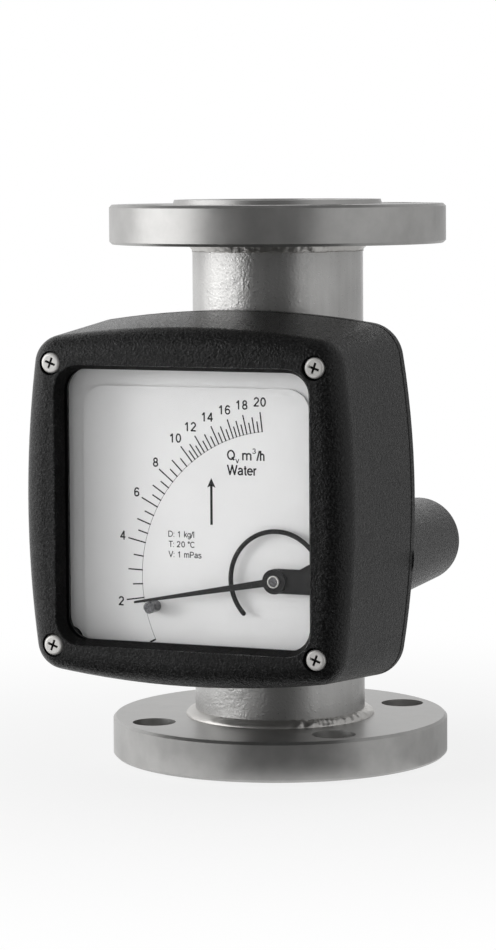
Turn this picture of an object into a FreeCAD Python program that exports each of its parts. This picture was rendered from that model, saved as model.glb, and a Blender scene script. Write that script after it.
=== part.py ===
import FreeCAD, Part
import math
import os
from FreeCAD import Vector

# Metal-tube variable-area flow meter with a mechanical pointer indicator.
#
# Millimetres. +Z is the flow direction, from the inlet flange up to the outlet flange.
# The origin is the centre of the inlet flange's raised face. The dial faces -Y.

# ---------------------------------------------------------------- general clearances
SEAT_GAP = 0.3            # between pieces that lie loosely against each other
INSERT_GAP = 0.05         # round pieces pushed into a bore
RUNNING_GAP = 0.05        # radial play of a shaft or rod in its bearing
SCREW_GAP = 0.25          # radial play of a screw in a plain hole
COLUMN_GAP = 1.2          # inner sheets round the cover's columns and inside its walls
OVERCUT = 1.0             # how far a cutting form runs past the face it cuts

# ---------------------------------------------------------------- pipe flanges, NPS 2 class 150
FACE_TO_FACE = 250.0
FLANGE_OD = 150.0
FLANGE_BODY = 17.5
FLANGE_EDGE = 1.2
RAISED_FACE_D = 92.1
RAISED_FACE_H = 2.0
RAISED_FACE_TAPER = 0.6
FLANGE_BORE = 52.5
BOLT_CIRCLE = 120.7
BOLT_HOLE_D = 19.1
BOLT_COUNT = 4
BOLT_FIRST_ANGLE = 45.0

# ---------------------------------------------------------------- metering tube and its inserts
TUBE_OD = 76.1
TUBE_WALL = 3.0
WELD_LEG = 4.6
WELD_CROWN = 0.5
GUIDE_RIM = 3.0
GUIDE_HEIGHT = 8.0
GUIDE_HUB_D = 18.0
GUIDE_ARM_T = 3.0
GUIDE_ARMS = 3
GUIDE_FIRST_ANGLE = 90.0
UPPER_GUIDE_ABOVE_CONE = 16.0
THROAT_GAP = 0.4
THROAT_LENGTH = 10.0
CONE_LENGTH = 62.0
CONE_RIM = 1.8
CONE_WALL = 1.8
CONE_PLATE_T = 2.5

# ---------------------------------------------------------------- float
FLOAT_STROKE = 48.0
FLOAT_HEAD_D = 46.0
FLOAT_FOOT_D = 16.0
FLOAT_NECK_D = 18.0
FLOAT_LENGTH = 43.0
FLOAT_EDGE_BELOW_TOP = 9.0
FLOAT_EDGE_T = 2.0
FLOAT_SHOULDER_H = 6.0
FLOAT_SHOULDER_STEP = 2.0
FLOAT_MAGNET_D = 18.0
FLOAT_MAGNET_L = 16.0
FLOAT_MAGNET_UP = 14.1
FLOAT_SLEEVE_T = 1.0
ROD_D = 8.0
ROD_ENGAGED = 3.8
ROD_ABOVE_GUIDE = 4.0
ROD_CHAMFER = 0.8
COLLAR_D = 20.0
COLLAR_LENGTH = 10.0

# ---------------------------------------------------------------- indicator housing
HOUSING_BELOW_MIDDLE = 2.9
HOUSING_STAND_OFF = 4.15
HOUSING_DEPTH = 65.3
FRONT_HALF_W = 74.8
FRONT_HALF_H = 75.8
FRONT_BULGE_SIDE = 6.5
FRONT_BULGE_TOP = 6.7
FRONT_CORNER_R = 12.5
BACK_FLARE_W = 5.6
BACK_FLARE_H = 4.6
BACK_BULGE_SIDE = 8.5
BACK_BULGE_TOP = 7.9
BACK_CORNER_R = 16.0
BEZEL_ROUND = 10.5
BEZEL_DEPTH = 10.0
COVER_WALL = 4.0
BASE_T = 4.0
REAR_EDGE_BREAK = 0.6

# ---------------------------------------------------------------- window
BEZEL_WIDTH_X = 16.3
BEZEL_WIDTH_Z = 16.2
WINDOW_CORNER_R = 11.5
LIP_DEPTH = 5.5
LIP_INSET_X = 2.7
LIP_INSET_Z = 2.1
GLASS_OVERLAP = 3.0
GLASS_T = 4.0
GLASS_CORNER_R = 12.5
SEAL_T = 0.7
SEAL_WIDTH = 2.6
RETAINER_T = 1.5
RETAINER_WIDTH = 9.0
RETAINER_HEIGHT = 6.0
RETAINER_SCREW_Z = 34.0
RETAINER_TAP = 4.0

# ---------------------------------------------------------------- cover screws, columns and gasket
COVER_SCREW_FROM_SIDE = 14.8
COVER_SCREW_FROM_TOP = 15.8
COVER_SCREW_D = 5.0
COVER_SCREW_HEAD_D = 8.8
COVER_SCREW_HEAD_H = 2.2
COVER_SCREW_DOME_R = 1.3
CROSS_LENGTH = 4.8
CROSS_WIDTH = 1.0
CROSS_DEPTH = 1.3
CROSS_TURN = 20.0
COUNTERBORE_D = 10.4
COUNTERBORE_DEPTH = 2.8
COLUMN_D = 9.4
BASE_BOSS_H = 6.0
BLIND_WALL = 1.0
GASKET_WIDTH = 1.8
GASKET_T = 1.2
GASKET_INSET = 1.1

# ---------------------------------------------------------------- cable entry on the housing's back
ENTRY_FROM_SIDE = 21.4
ENTRY_BELOW_CENTRE = 24.3
ENTRY_ROOT_D = 42.0
ENTRY_END_D = 37.2
ENTRY_LENGTH = 66.0
ENTRY_BORE_D = 30.0
ENTRY_END_WALL = 7.0
ENTRY_EDGE_R = 2.5
ENTRY_THREAD_D = 20.0
PLUG_THREAD_GAP = 0.1
PLUG_HEX = 24.0
PLUG_HEAD_T = 6.0
PLUG_CHAMFER = 0.6
PLUG_SEAL_D = 26.0
PLUG_SEAL_T = 1.5

# ---------------------------------------------------------------- mounting block on the tube
BLOCK_HALF_W = 25.0
BLOCK_HALF_H = 40.0
BLOCK_WELD = 4.0
HOUSING_SCREW_X = 16.0
HOUSING_SCREW_Z = 28.0
HOUSING_SCREW_D = 6.0
HOUSING_SCREW_HEAD_D = 10.0
HOUSING_SCREW_HEAD_H = 2.7
HOUSING_SCREW_REACH = 6.0

# ---------------------------------------------------------------- dial, carrier and movement plate
# The dial's edges are measured from the housing's centre.
DIAL_DEPTH = 18.5
DIAL_T = 0.8
DIAL_LEFT = -53.0
DIAL_RIGHT = 51.5
DIAL_BELOW_GAP = 0.4
DIAL_ABOVE = 49.9
DIAL_CORNER_R = 10.0
CARRIER_T = 1.2
SHEET_SIDE_GAP = 3.3
SHEET_TOP_GAP = 2.5
SHEET_CORNER_R = 4.0
PLATE_SIDE_MARGIN = 10.0
PLATE_BRIDGE_MARGIN = 1.0
PLATE_T = 2.0
PLATE_STAND_OFF = 13.8
SHAFT_HOLE_GAP = 1.5
POST_X = 40.0
POST_FROM_WALL = 5.3
POST_D = 6.0
POST_STUD = 5.0
SMALL_SCREW_D = 3.0
SMALL_SCREW_HEAD_D = 5.0
SMALL_SCREW_HEAD_H = 1.0
SMALL_SCREW_GRIP = 8.0

# ---------------------------------------------------------------- pointer and its shaft
SHAFT_FROM_SIDE = 37.6
SHAFT_BELOW_CENTRE = 30.0
SHAFT_D = 3.0
SHAFT_END_GAP = 5.8
SHAFT_CHAMFER = 0.3
POINTER_SWEEP = 94.0
NEEDLE_REST_ANGLE = -10.2
NEEDLE_STAND_OFF = 4.8
NEEDLE_T = 1.2
NEEDLE_LENGTH = 65.2
NEEDLE_ROOT_W = 3.2
NEEDLE_TIP_W = 1.0
HUB_D = 10.5
HUB_EDGE_R = 0.35
COLLET_D = 5.2
COLLET_BORE = 4.2
COLLET_H = 0.9
COLLET_CHAMFER = 0.2
HUB_SCREW_D = 3.8
HUB_SCREW_H = 0.6
HUB_SCREW_EDGE_R = 0.3
HUB_SCREW_SLOT = 0.7
HUB_SCREW_SLOT_DEPTH = 0.35
HUB_SCREW_TURN = 30.0

# ---------------------------------------------------------------- bridge, hoop, bushes and stop pin
BRIDGE_GAP = 0.4
BRIDGE_T = 2.1
BRIDGE_HEIGHT = 10.3
BRIDGE_CROWN = 1.0
BRIDGE_FLARE_X = 10.6
BRIDGE_FLARE_RUN = 9.4
BRIDGE_FLARE_RISE = 5.6
BRIDGE_ROOT_T = 1.5
BRIDGE_ROOT_X = 18.8
BRIDGE_ROOT_W = 11.0
BRIDGE_ROOT_HALF_H = 15.0
BRIDGE_ROOT_CORNER_R = 3.0
BRIDGE_ROOT_LAP = 2.0
BRIDGE_POST_HALF = 10.5
BRIDGE_POST_D = 6.0
HOOP_R = 20.7
HOOP_WIRE_D = 2.0
HOOP_STAND_OFF = 2.8
HOOP_START_ANGLE = 28.0
HOOP_END_ANGLE = 223.8
BUSH_D = 6.0
BUSH_FLANGE_T = 0.8
BUSH_FLANGE_STEP = 1.0
STOP_PIN_D = 5.0
STOP_PIN_H = 7.3
STOP_PIN_EDGE_R = 0.5
STOP_PIN_RADIUS = 58.3
STOP_PIN_GAP = 0.06
STOP_PIN_SLOT = 0.9
STOP_PIN_SLOT_DEPTH = 0.8
STOP_PIN_TURN = -35.0
STOP_PIN_SPIGOT_D = 2.4

# ---------------------------------------------------------------- follower and brake on the shaft
FOLLOWER_ARM_T = 2.0
FOLLOWER_ARM_W = 6.0
FOLLOWER_ARM_GAP = 1.5
FOLLOWER_SOCKET_RIM = 0.5
FOLLOWER_HUB_D = 9.0
FOLLOWER_HUB_L = 6.0
FOLLOWER_MAGNET_D = 8.0
FOLLOWER_MAGNET_L = 7.0
COUNTERWEIGHT_D = 9.0
COUNTERWEIGHT_T = 5.0
COUNTERWEIGHT_RADIUS = 14.0
BRAKE_DISC_D = 38.0
BRAKE_DISC_T = 0.8
BRAKE_DISC_AHEAD = 8.0
BRAKE_HUB_D = 8.0
BRAKE_HUB_L = 4.0
BRAKE_GAP = 0.8
BRAKE_MAGNET_D = 7.0
BRAKE_MAGNET_T = 2.0
BRAKE_YOKE_T = 2.0
BRAKE_YOKE_HALF_H = 6.0
BRAKE_YOKE_REACH = 8.5
BRAKE_YOKE_CLEAR = 1.0

# ---------------------------------------------------------------- sizes that follow from these
FLANGE_HEIGHT = FLANGE_BODY + RAISED_FACE_H
TUBE_R = TUBE_OD / 2
TUBE_BORE_R = TUBE_R - TUBE_WALL
INSERT_R = TUBE_BORE_R - INSERT_GAP
ROD_R = ROD_D / 2
SHAFT_R = SHAFT_D / 2

HOUSING_Z = FACE_TO_FACE / 2 - HOUSING_BELOW_MIDDLE
BACK_HALF_W = FRONT_HALF_W + BACK_FLARE_W
BACK_HALF_H = FRONT_HALF_H + BACK_FLARE_H
INNER_HALF_W = FRONT_HALF_W - COVER_WALL
INNER_HALF_H = FRONT_HALF_H - COVER_WALL
WINDOW_HALF_W = FRONT_HALF_W - BEZEL_WIDTH_X
WINDOW_HALF_H = FRONT_HALF_H - BEZEL_WIDTH_Z
BACK_Y = -(TUBE_R + HOUSING_STAND_OFF)
FRONT_Y = BACK_Y - HOUSING_DEPTH
JOINT_Y = BACK_Y - BASE_T
CAVITY_FRONT_Y = FRONT_Y + BEZEL_DEPTH
LIP_BACK_Y = FRONT_Y + LIP_DEPTH
GLASS_FRONT_Y = LIP_BACK_Y + SEAL_T
GLASS_BACK_Y = GLASS_FRONT_Y + GLASS_T
RETAINER_BACK_Y = GLASS_BACK_Y + RETAINER_T
SCREW_SEAT_Y = FRONT_Y + COUNTERBORE_DEPTH
ENTRY_X = BACK_HALF_W - ENTRY_FROM_SIDE
ENTRY_Z = HOUSING_Z - ENTRY_BELOW_CENTRE
ENTRY_END_Y = BACK_Y + ENTRY_LENGTH

DIAL_Y = FRONT_Y + DIAL_DEPTH
CARRIER_FRONT_Y = DIAL_Y + DIAL_T
CARRIER_BACK_Y = CARRIER_FRONT_Y + CARRIER_T
PLATE_BACK_Y = JOINT_Y - PLATE_STAND_OFF
PLATE_FRONT_Y = PLATE_BACK_Y - PLATE_T
SHAFT_X = FRONT_HALF_W - SHAFT_FROM_SIDE
SHAFT_Z = HOUSING_Z - SHAFT_BELOW_CENTRE
SHAFT_REAR_Y = JOINT_Y - SHAFT_END_GAP
NEEDLE_BACK_Y = DIAL_Y - NEEDLE_STAND_OFF
NEEDLE_FRONT_Y = NEEDLE_BACK_Y - NEEDLE_T
BRIDGE_FRONT_Y = NEEDLE_BACK_Y + BRIDGE_GAP
BRIDGE_BACK_Y = BRIDGE_FRONT_Y + BRIDGE_T
BRIDGE_ROOT_LEFT = SHAFT_X + BRIDGE_ROOT_X
BRIDGE_ROOT_RIGHT = BRIDGE_ROOT_LEFT + BRIDGE_ROOT_W
BRIDGE_POST_X = (BRIDGE_ROOT_LEFT + BRIDGE_ROOT_RIGHT) / 2
SHEET_HALF_H = INNER_HALF_H - SHEET_TOP_GAP
CARRIER_LEFT = SHEET_SIDE_GAP - INNER_HALF_W
CARRIER_RIGHT = BRIDGE_ROOT_LEFT - COLUMN_GAP
PLATE_LEFT = -(POST_X + PLATE_SIDE_MARGIN)
PLATE_RIGHT = BRIDGE_ROOT_RIGHT + PLATE_BRIDGE_MARGIN
POST_Z = INNER_HALF_H - POST_FROM_WALL
DIAL_BELOW = POST_Z - SMALL_SCREW_HEAD_D / 2 - DIAL_BELOW_GAP
FOLLOWER_Y = PLATE_BACK_Y + FOLLOWER_ARM_GAP
FOLLOWER_BACK_Y = FOLLOWER_Y + FOLLOWER_ARM_T
FOLLOWER_RADIUS = FLOAT_STROKE / (2 * math.sin(math.radians(POINTER_SWEEP / 2)))
BRAKE_DISC_Y = PLATE_FRONT_Y - BRAKE_DISC_AHEAD
BRAKE_FRONT_Y = BRAKE_DISC_Y - BRAKE_GAP
BRAKE_BACK_Y = BRAKE_DISC_Y + BRAKE_DISC_T + BRAKE_GAP
BRAKE_EDGE_X = SHAFT_X + BRAKE_DISC_D / 2

# The float's magnet swings from as far below the shaft to as far above it.
FLOAT_MAGNET_Z = SHAFT_Z - FLOAT_STROKE / 2
FLOAT_BOTTOM = FLOAT_MAGNET_Z - FLOAT_MAGNET_UP
FLOAT_TOP = FLOAT_BOTTOM + FLOAT_LENGTH
FLOAT_EDGE_Z = FLOAT_TOP - FLOAT_EDGE_BELOW_TOP
LOWER_GUIDE_TOP = FLOAT_BOTTOM - SEAT_GAP
THROAT_R = FLOAT_HEAD_D / 2 + THROAT_GAP
THROAT_TOP = FLOAT_EDGE_Z + FLOAT_EDGE_T
CONE_TOP = THROAT_TOP + CONE_LENGTH
UPPER_GUIDE_BOTTOM = CONE_TOP + UPPER_GUIDE_ABOVE_CONE
UPPER_GUIDE_TOP = UPPER_GUIDE_BOTTOM + GUIDE_HEIGHT


def four_spots(half_x, half_z):
    """Four (x, z) places round the housing's centre."""
    return [(x, HOUSING_Z + z) for x in (-half_x, half_x) for z in (-half_z, half_z)]


COVER_SCREWS = four_spots(FRONT_HALF_W - COVER_SCREW_FROM_SIDE, FRONT_HALF_H - COVER_SCREW_FROM_TOP)
HOUSING_SCREWS = four_spots(HOUSING_SCREW_X, HOUSING_SCREW_Z)
POSTS = four_spots(POST_X, POST_Z)
BRIDGE_POSTS = [(BRIDGE_POST_X, SHAFT_Z + side * BRIDGE_POST_HALF) for side in (-1, 1)]


# ---------------------------------------------------------------- basic forms
def cylinder_z(z_low, z_high, radius, x=0.0, y=0.0):
    return Part.makeCylinder(radius, z_high - z_low, Vector(x, y, z_low), Vector(0, 0, 1))


def cylinder_y(spot, y_front, y_back, radius):
    """A cylinder along Y at the (x, z) spot."""
    return Part.makeCylinder(radius, y_back - y_front, Vector(spot[0], y_front, spot[1]), Vector(0, 1, 0))


def ring_z(z_low, z_high, outer_r, inner_r):
    return cylinder_z(z_low, z_high, outer_r).cut(cylinder_z(z_low - OVERCUT, z_high + OVERCUT, inner_r))


def drilled(shape, spots, y_front, y_back, radius):
    """The shape with a round hole along Y at every (x, z) spot."""
    for spot in spots:
        shape = shape.cut(cylinder_y(spot, y_front, y_back, radius))
    return shape


def box_between(low, high):
    size = Vector(*high) - Vector(*low)
    return Part.makeBox(size.x, size.y, size.z, Vector(*low))


def turned_z(profile):
    """A solid of revolution about Z from (radius, z) corners."""
    points = [Vector(r, 0, z) for r, z in profile]
    return Part.Face(Part.makePolygon(points + points[:1])).revolve(Vector(0, 0, 0), Vector(0, 0, 1), 360)


def through(start, end, bulge):
    """A shallow or round arc from start to end through the bulge point."""
    return Part.Arc(start, bulge, end).toShape()


def rounded_outline(left, right, bottom, top, corner_r, y):
    """A rectangle across Y whose corners are quarter arcs."""
    r = corner_r
    nick = r * (1 - math.sqrt(0.5))

    def at(x, z):
        return Vector(x, y, z)

    return Part.Wire([
        Part.makeLine(at(left + r, bottom), at(right - r, bottom)),
        through(at(right - r, bottom), at(right, bottom + r), at(right - nick, bottom + nick)),
        Part.makeLine(at(right, bottom + r), at(right, top - r)),
        through(at(right, top - r), at(right - r, top), at(right - nick, top - nick)),
        Part.makeLine(at(right - r, top), at(left + r, top)),
        through(at(left + r, top), at(left, top - r), at(left + nick, top - nick)),
        Part.makeLine(at(left, top - r), at(left, bottom + r)),
        through(at(left, bottom + r), at(left + r, bottom), at(left + nick, bottom + nick)),
    ])


def sheet(left, right, below, above, y_front, y_back, corner_r):
    """A flat sheet whose edges are measured from the housing's centre."""
    outline = rounded_outline(left, right, HOUSING_Z - below, HOUSING_Z + above, corner_r, y_front)
    return Part.Face(outline).extrude(Vector(0, y_back - y_front, 0))


def window_plate(size, y_front, y_back, grow=0.0):
    """A plate centred on the window; size is (half width, half height, corner radius)."""
    half_w, half_h, corner_r = [value + grow for value in size]
    return sheet(-half_w, half_w, half_h, half_h, y_front, y_back, corner_r)


def edges_at_y(shape, y):
    return [e for e in shape.Edges if max(abs(e.BoundBox.YMin - y), abs(e.BoundBox.YMax - y)) < 1e-4]


def circle_edges(shape):
    return [e for e in shape.Edges if e.Curve.TypeId == "Part::GeomCircle"]


def flat_screws(spots, y_seat, y_tip, shank_d, head_d, head_h):
    """Flat-headed screws; the head lies on the seat's side away from the tip."""
    y_top = y_seat + math.copysign(head_h, y_seat - y_tip)
    solids = []
    for spot in spots:
        head = cylinder_y(spot, min(y_seat, y_top), max(y_seat, y_top), head_d / 2)
        solids.append(head.fuse(cylinder_y(spot, min(y_seat, y_tip), max(y_seat, y_tip), shank_d / 2)))
    return Part.makeCompound(solids)


def small_screws(spots, y_seat, y_tip):
    return flat_screws(spots, y_seat, y_tip, SMALL_SCREW_D, SMALL_SCREW_HEAD_D, SMALL_SCREW_HEAD_H)


# ---------------------------------------------------------------- pillow outline of the housing
def pillow_wire(half_w, half_h, bulge_side, bulge_top, corner_r, y, inset):
    """A closed outline of four bulging sides and four round corners, at one depth.

    Each side is one large arc through the middle of that side; each corner is a small arc
    tangent to both neighbours. An inset moves the whole outline inwards in parallel.
    """
    side_r = (half_h ** 2 + bulge_side ** 2) / (2 * bulge_side)
    top_r = (half_w ** 2 + bulge_top ** 2) / (2 * bulge_top)
    side_c = half_w - side_r
    top_c = half_h - top_r
    # The corner's centre is where circles round both side centres meet, each its own radius less
    # the corner's. It lies on the far side of the line between those centres.
    span = math.hypot(side_c, top_c)
    along = ((side_r - corner_r) ** 2 - (top_r - corner_r) ** 2 + span ** 2) / (2 * span)
    across = math.sqrt((side_r - corner_r) ** 2 - along ** 2)
    corner_x = side_c - (along * side_c + across * top_c) / span
    corner_z = (along * top_c - across * side_c) / span
    side_end = math.atan2(corner_z, corner_x - side_c)
    top_end = math.atan2(corner_z - top_c, corner_x)

    def arc(centre_x, centre_z, radius, start, end):
        points = []
        for angle in (start, (start + end) / 2, end):
            reach = radius - inset
            x = centre_x + reach * math.cos(angle)
            z = centre_z + reach * math.sin(angle)
            points.append(Vector(x, y, HOUSING_Z + z))
        return Part.Arc(*points).toShape()

    turn = math.pi
    return Part.Wire([
        arc(side_c, 0, side_r, -side_end, side_end),
        arc(corner_x, corner_z, corner_r, side_end, top_end),
        arc(0, top_c, top_r, top_end, turn - top_end),
        arc(-corner_x, corner_z, corner_r, turn - top_end, turn - side_end),
        arc(-side_c, 0, side_r, turn - side_end, turn + side_end),
        arc(-corner_x, -corner_z, corner_r, turn + side_end, turn + top_end),
        arc(0, -top_c, top_r, turn + top_end, 2 * turn - top_end),
        arc(corner_x, -corner_z, corner_r, -top_end, -side_end),
    ])


def pillow_at(y, inset=0.0):
    """The housing's outline at depth y: it grows evenly from the bezel to the back."""
    start_y = FRONT_Y + BEZEL_ROUND
    share = (y - start_y) / (BACK_Y - start_y)

    def between(front, back):
        return front + (back - front) * share

    return pillow_wire(between(FRONT_HALF_W, BACK_HALF_W), between(FRONT_HALF_H, BACK_HALF_H),
                       between(FRONT_BULGE_SIDE, BACK_BULGE_SIDE), between(FRONT_BULGE_TOP, BACK_BULGE_TOP),
                       between(FRONT_CORNER_R, BACK_CORNER_R), y, inset)


def pillow_through(stations):
    """Straight-sided solid through the housing's outline at each (depth, inset) station."""
    return Part.makeLoft([pillow_at(y, inset) for y, inset in stations], True, True)


def inside_walls(clearance):
    """The room inside the cover's walls, less a clearance."""
    inset = COVER_WALL + clearance
    return pillow_through([(CAVITY_FRONT_Y, inset), (JOINT_Y, inset)])


# ---------------------------------------------------------------- flanges, tube, welds
def inlet_flange():
    """Slip-on flange: bore, raised face with a tapered edge, broken rim edges, bolt holes."""
    outer = FLANGE_OD / 2
    face = RAISED_FACE_D / 2
    bore = FLANGE_BORE / 2
    body = turned_z([
        (bore, 0),
        (face, 0),
        (face + RAISED_FACE_TAPER, RAISED_FACE_H),
        (outer - FLANGE_EDGE, RAISED_FACE_H),
        (outer, RAISED_FACE_H + FLANGE_EDGE),
        (outer, FLANGE_HEIGHT - FLANGE_EDGE),
        (outer - FLANGE_EDGE, FLANGE_HEIGHT),
        (bore, FLANGE_HEIGHT),
    ])
    for k in range(BOLT_COUNT):
        angle = math.radians(BOLT_FIRST_ANGLE + k * 360 / BOLT_COUNT)
        x = BOLT_CIRCLE / 2 * math.cos(angle)
        y = BOLT_CIRCLE / 2 * math.sin(angle)
        body = body.cut(cylinder_z(-OVERCUT, FLANGE_HEIGHT + OVERCUT, BOLT_HOLE_D / 2, x, y))
    return body


def mirrored_to_outlet(shape):
    return shape.mirror(Vector(0, 0, FACE_TO_FACE / 2), Vector(0, 0, 1))


def metering_tube():
    return ring_z(FLANGE_HEIGHT, FACE_TO_FACE - FLANGE_HEIGHT, TUBE_R, TUBE_BORE_R)


def inlet_weld():
    """Fillet weld round the tube where it meets the flange, slightly crowned."""
    root = Vector(TUBE_R, 0, FLANGE_HEIGHT)
    foot = root + Vector(WELD_LEG, 0, 0)
    toe = root + Vector(0, 0, WELD_LEG)
    crest = (foot + toe) * 0.5 + Vector(1, 0, 1).normalize() * WELD_CROWN
    section = Part.Wire([Part.makeLine(root, foot), through(foot, toe, crest), Part.makeLine(toe, root)])
    return Part.Face(section).revolve(Vector(0, 0, 0), Vector(0, 0, 1), 360)


# ---------------------------------------------------------------- inside the tube
def metering_cone():
    """Orifice plate, short throat and the cone that widens upwards."""
    throat_low = THROAT_TOP - THROAT_LENGTH
    return turned_z([
        (THROAT_R, throat_low),
        (INSERT_R, throat_low),
        (INSERT_R, throat_low + CONE_PLATE_T),
        (THROAT_R + CONE_WALL, throat_low + CONE_PLATE_T),
        (THROAT_R + CONE_WALL, THROAT_TOP),
        (INSERT_R, CONE_TOP),
        (INSERT_R - CONE_RIM, CONE_TOP),
        (THROAT_R, THROAT_TOP),
    ])


def guide_star(z_low):
    """Spider with a rim that sits in the tube, radial arms and a bored hub for the rod."""
    z_high = z_low + GUIDE_HEIGHT
    star = ring_z(z_low, z_high, INSERT_R, INSERT_R - GUIDE_RIM)
    star = star.fuse(cylinder_z(z_low, z_high, GUIDE_HUB_D / 2))
    half = GUIDE_ARM_T / 2
    for k in range(GUIDE_ARMS):
        arm = box_between((0, -half, z_low), (INSERT_R - GUIDE_RIM / 2, half, z_high))
        arm.rotate(Vector(0, 0, 0), Vector(0, 0, 1), GUIDE_FIRST_ANGLE + k * 360 / GUIDE_ARMS)
        star = star.fuse(arm)
    star = star.removeSplitter()
    return star.cut(cylinder_z(z_low - OVERCUT, z_high + OVERCUT, ROD_R + RUNNING_GAP))


def float_body():
    """Turned float: foot, lower cone, sharp metering edge, upper cone and a magnet chamber."""
    head_r = FLOAT_HEAD_D / 2
    outer = turned_z([
        (ROD_R, FLOAT_BOTTOM),
        (FLOAT_FOOT_D / 2, FLOAT_BOTTOM),
        (head_r - FLOAT_SHOULDER_STEP, FLOAT_EDGE_Z - FLOAT_SHOULDER_H),
        (head_r, FLOAT_EDGE_Z),
        (head_r, FLOAT_EDGE_Z + FLOAT_EDGE_T),
        (FLOAT_NECK_D / 2, FLOAT_TOP),
        (ROD_R, FLOAT_TOP),
    ])
    return outer.cut(magnet_ring(0))


def magnet_ring(gap):
    """Ring round the rod's sleeve, inside the float."""
    half = FLOAT_MAGNET_L / 2
    return ring_z(FLOAT_MAGNET_Z - half, FLOAT_MAGNET_Z + half, FLOAT_MAGNET_D / 2 - gap,
                  ROD_R + FLOAT_SLEEVE_T + gap)


def float_rod():
    """Rod through both guides; at full lift its lower end is still held by the lower guide."""
    low = LOWER_GUIDE_TOP - ROD_ENGAGED - FLOAT_STROKE
    rod = cylinder_z(low, UPPER_GUIDE_TOP + ROD_ABOVE_GUIDE, ROD_R)
    return rod.makeChamfer(ROD_CHAMFER, circle_edges(rod))


def float_stop_collar():
    """Clamped on the rod, it meets the upper guide when the float is at the top of its stroke."""
    high = UPPER_GUIDE_BOTTOM - FLOAT_STROKE - SEAT_GAP
    collar = cylinder_z(high - COLLAR_LENGTH, high, COLLAR_D / 2)
    collar = collar.makeChamfer(ROD_CHAMFER, circle_edges(collar))
    return collar.cut(cylinder_z(high - COLLAR_LENGTH - OVERCUT, high + OVERCUT, ROD_R))


# ---------------------------------------------------------------- mounting block on the tube
def block_edge_y():
    """Depth at which the block's sides meet the tube."""
    return -math.sqrt(TUBE_R ** 2 - BLOCK_HALF_W ** 2)


def mounting_block():
    """Steel block hollowed to the tube's radius, tapped for the housing screws."""
    low = HOUSING_Z - BLOCK_HALF_H
    high = HOUSING_Z + BLOCK_HALF_H
    block = box_between((-BLOCK_HALF_W, BACK_Y, low), (BLOCK_HALF_W, block_edge_y(), high))
    block = block.cut(cylinder_z(low - OVERCUT, high + OVERCUT, TUBE_R))
    return drilled(block, HOUSING_SCREWS, BACK_Y - OVERCUT, 0, HOUSING_SCREW_D / 2)


def block_welds():
    """One fillet bead down each side of the block."""
    start = math.atan2(BLOCK_HALF_W, -block_edge_y())
    step = BLOCK_WELD / TUBE_R

    def on_tube(angle):
        return Vector(TUBE_R * math.sin(angle), -TUBE_R * math.cos(angle), HOUSING_Z - BLOCK_HALF_H)

    corner = on_tube(start)
    toe = on_tube(start + step)
    crest = corner - Vector(0, BLOCK_WELD, 0)
    section = Part.Wire([
        through(corner, toe, on_tube(start + step / 2)),
        Part.makeLine(toe, crest),
        Part.makeLine(crest, corner),
    ])
    bead = Part.Face(section).extrude(Vector(0, 0, 2 * BLOCK_HALF_H))
    return Part.makeCompound([bead, bead.mirror(Vector(0, 0, 0), Vector(1, 0, 0))])


def housing_screws():
    """Four screws from inside the base into the mounting block."""
    return flat_screws(HOUSING_SCREWS, JOINT_Y, BACK_Y + HOUSING_SCREW_REACH, HOUSING_SCREW_D,
                       HOUSING_SCREW_HEAD_D, HOUSING_SCREW_HEAD_H)


# ---------------------------------------------------------------- window sizes
def lip_size():
    """Half width, half height and corner radius of the window at the back of its lip."""
    return (WINDOW_HALF_W - LIP_INSET_X, WINDOW_HALF_H - LIP_INSET_Z, WINDOW_CORNER_R - LIP_INSET_Z)


def glass_size():
    half_w, half_h, _ = lip_size()
    return (half_w + GLASS_OVERLAP, half_h + GLASS_OVERLAP, GLASS_CORNER_R)


def retainer_screw_spots():
    return four_spots(glass_size()[0] + RETAINER_WIDTH / 2, RETAINER_SCREW_Z)


# ---------------------------------------------------------------- front cover and what it carries
def front_cover():
    """Deep hood: bulging sides that widen to the back, a round bezel edge and a lipped window."""
    shell = pillow_through([(FRONT_Y, 0), (JOINT_Y - REAR_EDGE_BREAK, 0), (JOINT_Y, REAR_EDGE_BREAK)])
    shell = shell.makeFillet(BEZEL_ROUND, edges_at_y(shell, FRONT_Y))
    shell = shell.cut(inside_walls(0))
    for spot in COVER_SCREWS:
        shell = shell.fuse(cylinder_y(spot, CAVITY_FRONT_Y - OVERCUT, JOINT_Y - BASE_BOSS_H, COLUMN_D / 2))
    shell = shell.cut(window_mouth())
    shell = shell.cut(window_plate(glass_size(), LIP_BACK_Y, CAVITY_FRONT_Y + OVERCUT, SEAT_GAP))
    shell = drilled(shell, COVER_SCREWS, FRONT_Y - OVERCUT, JOINT_Y, COVER_SCREW_D / 2 + SCREW_GAP)
    shell = drilled(shell, COVER_SCREWS, FRONT_Y - OVERCUT, SCREW_SEAT_Y, COUNTERBORE_D / 2)
    return drilled(shell, retainer_screw_spots(), CAVITY_FRONT_Y - RETAINER_TAP, RETAINER_BACK_Y,
                   SMALL_SCREW_D / 2)


def window_mouth():
    """The window's funnel, from the bezel's face in to the back of the lip."""
    def outline(size, y):
        half_w, half_h, corner_r = size
        return rounded_outline(-half_w, half_w, HOUSING_Z - half_h, HOUSING_Z + half_h, corner_r, y)

    front = (WINDOW_HALF_W, WINDOW_HALF_H, WINDOW_CORNER_R)
    return Part.makeLoft([outline(front, FRONT_Y), outline(lip_size(), LIP_BACK_Y)], True, True)


def window_glass():
    return window_plate(glass_size(), GLASS_FRONT_Y, GLASS_BACK_Y)


def glass_seal():
    ring = window_plate(glass_size(), LIP_BACK_Y, GLASS_FRONT_Y)
    return ring.cut(window_plate(glass_size(), LIP_BACK_Y - OVERCUT, GLASS_FRONT_Y + OVERCUT, -SEAL_WIDTH))


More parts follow.
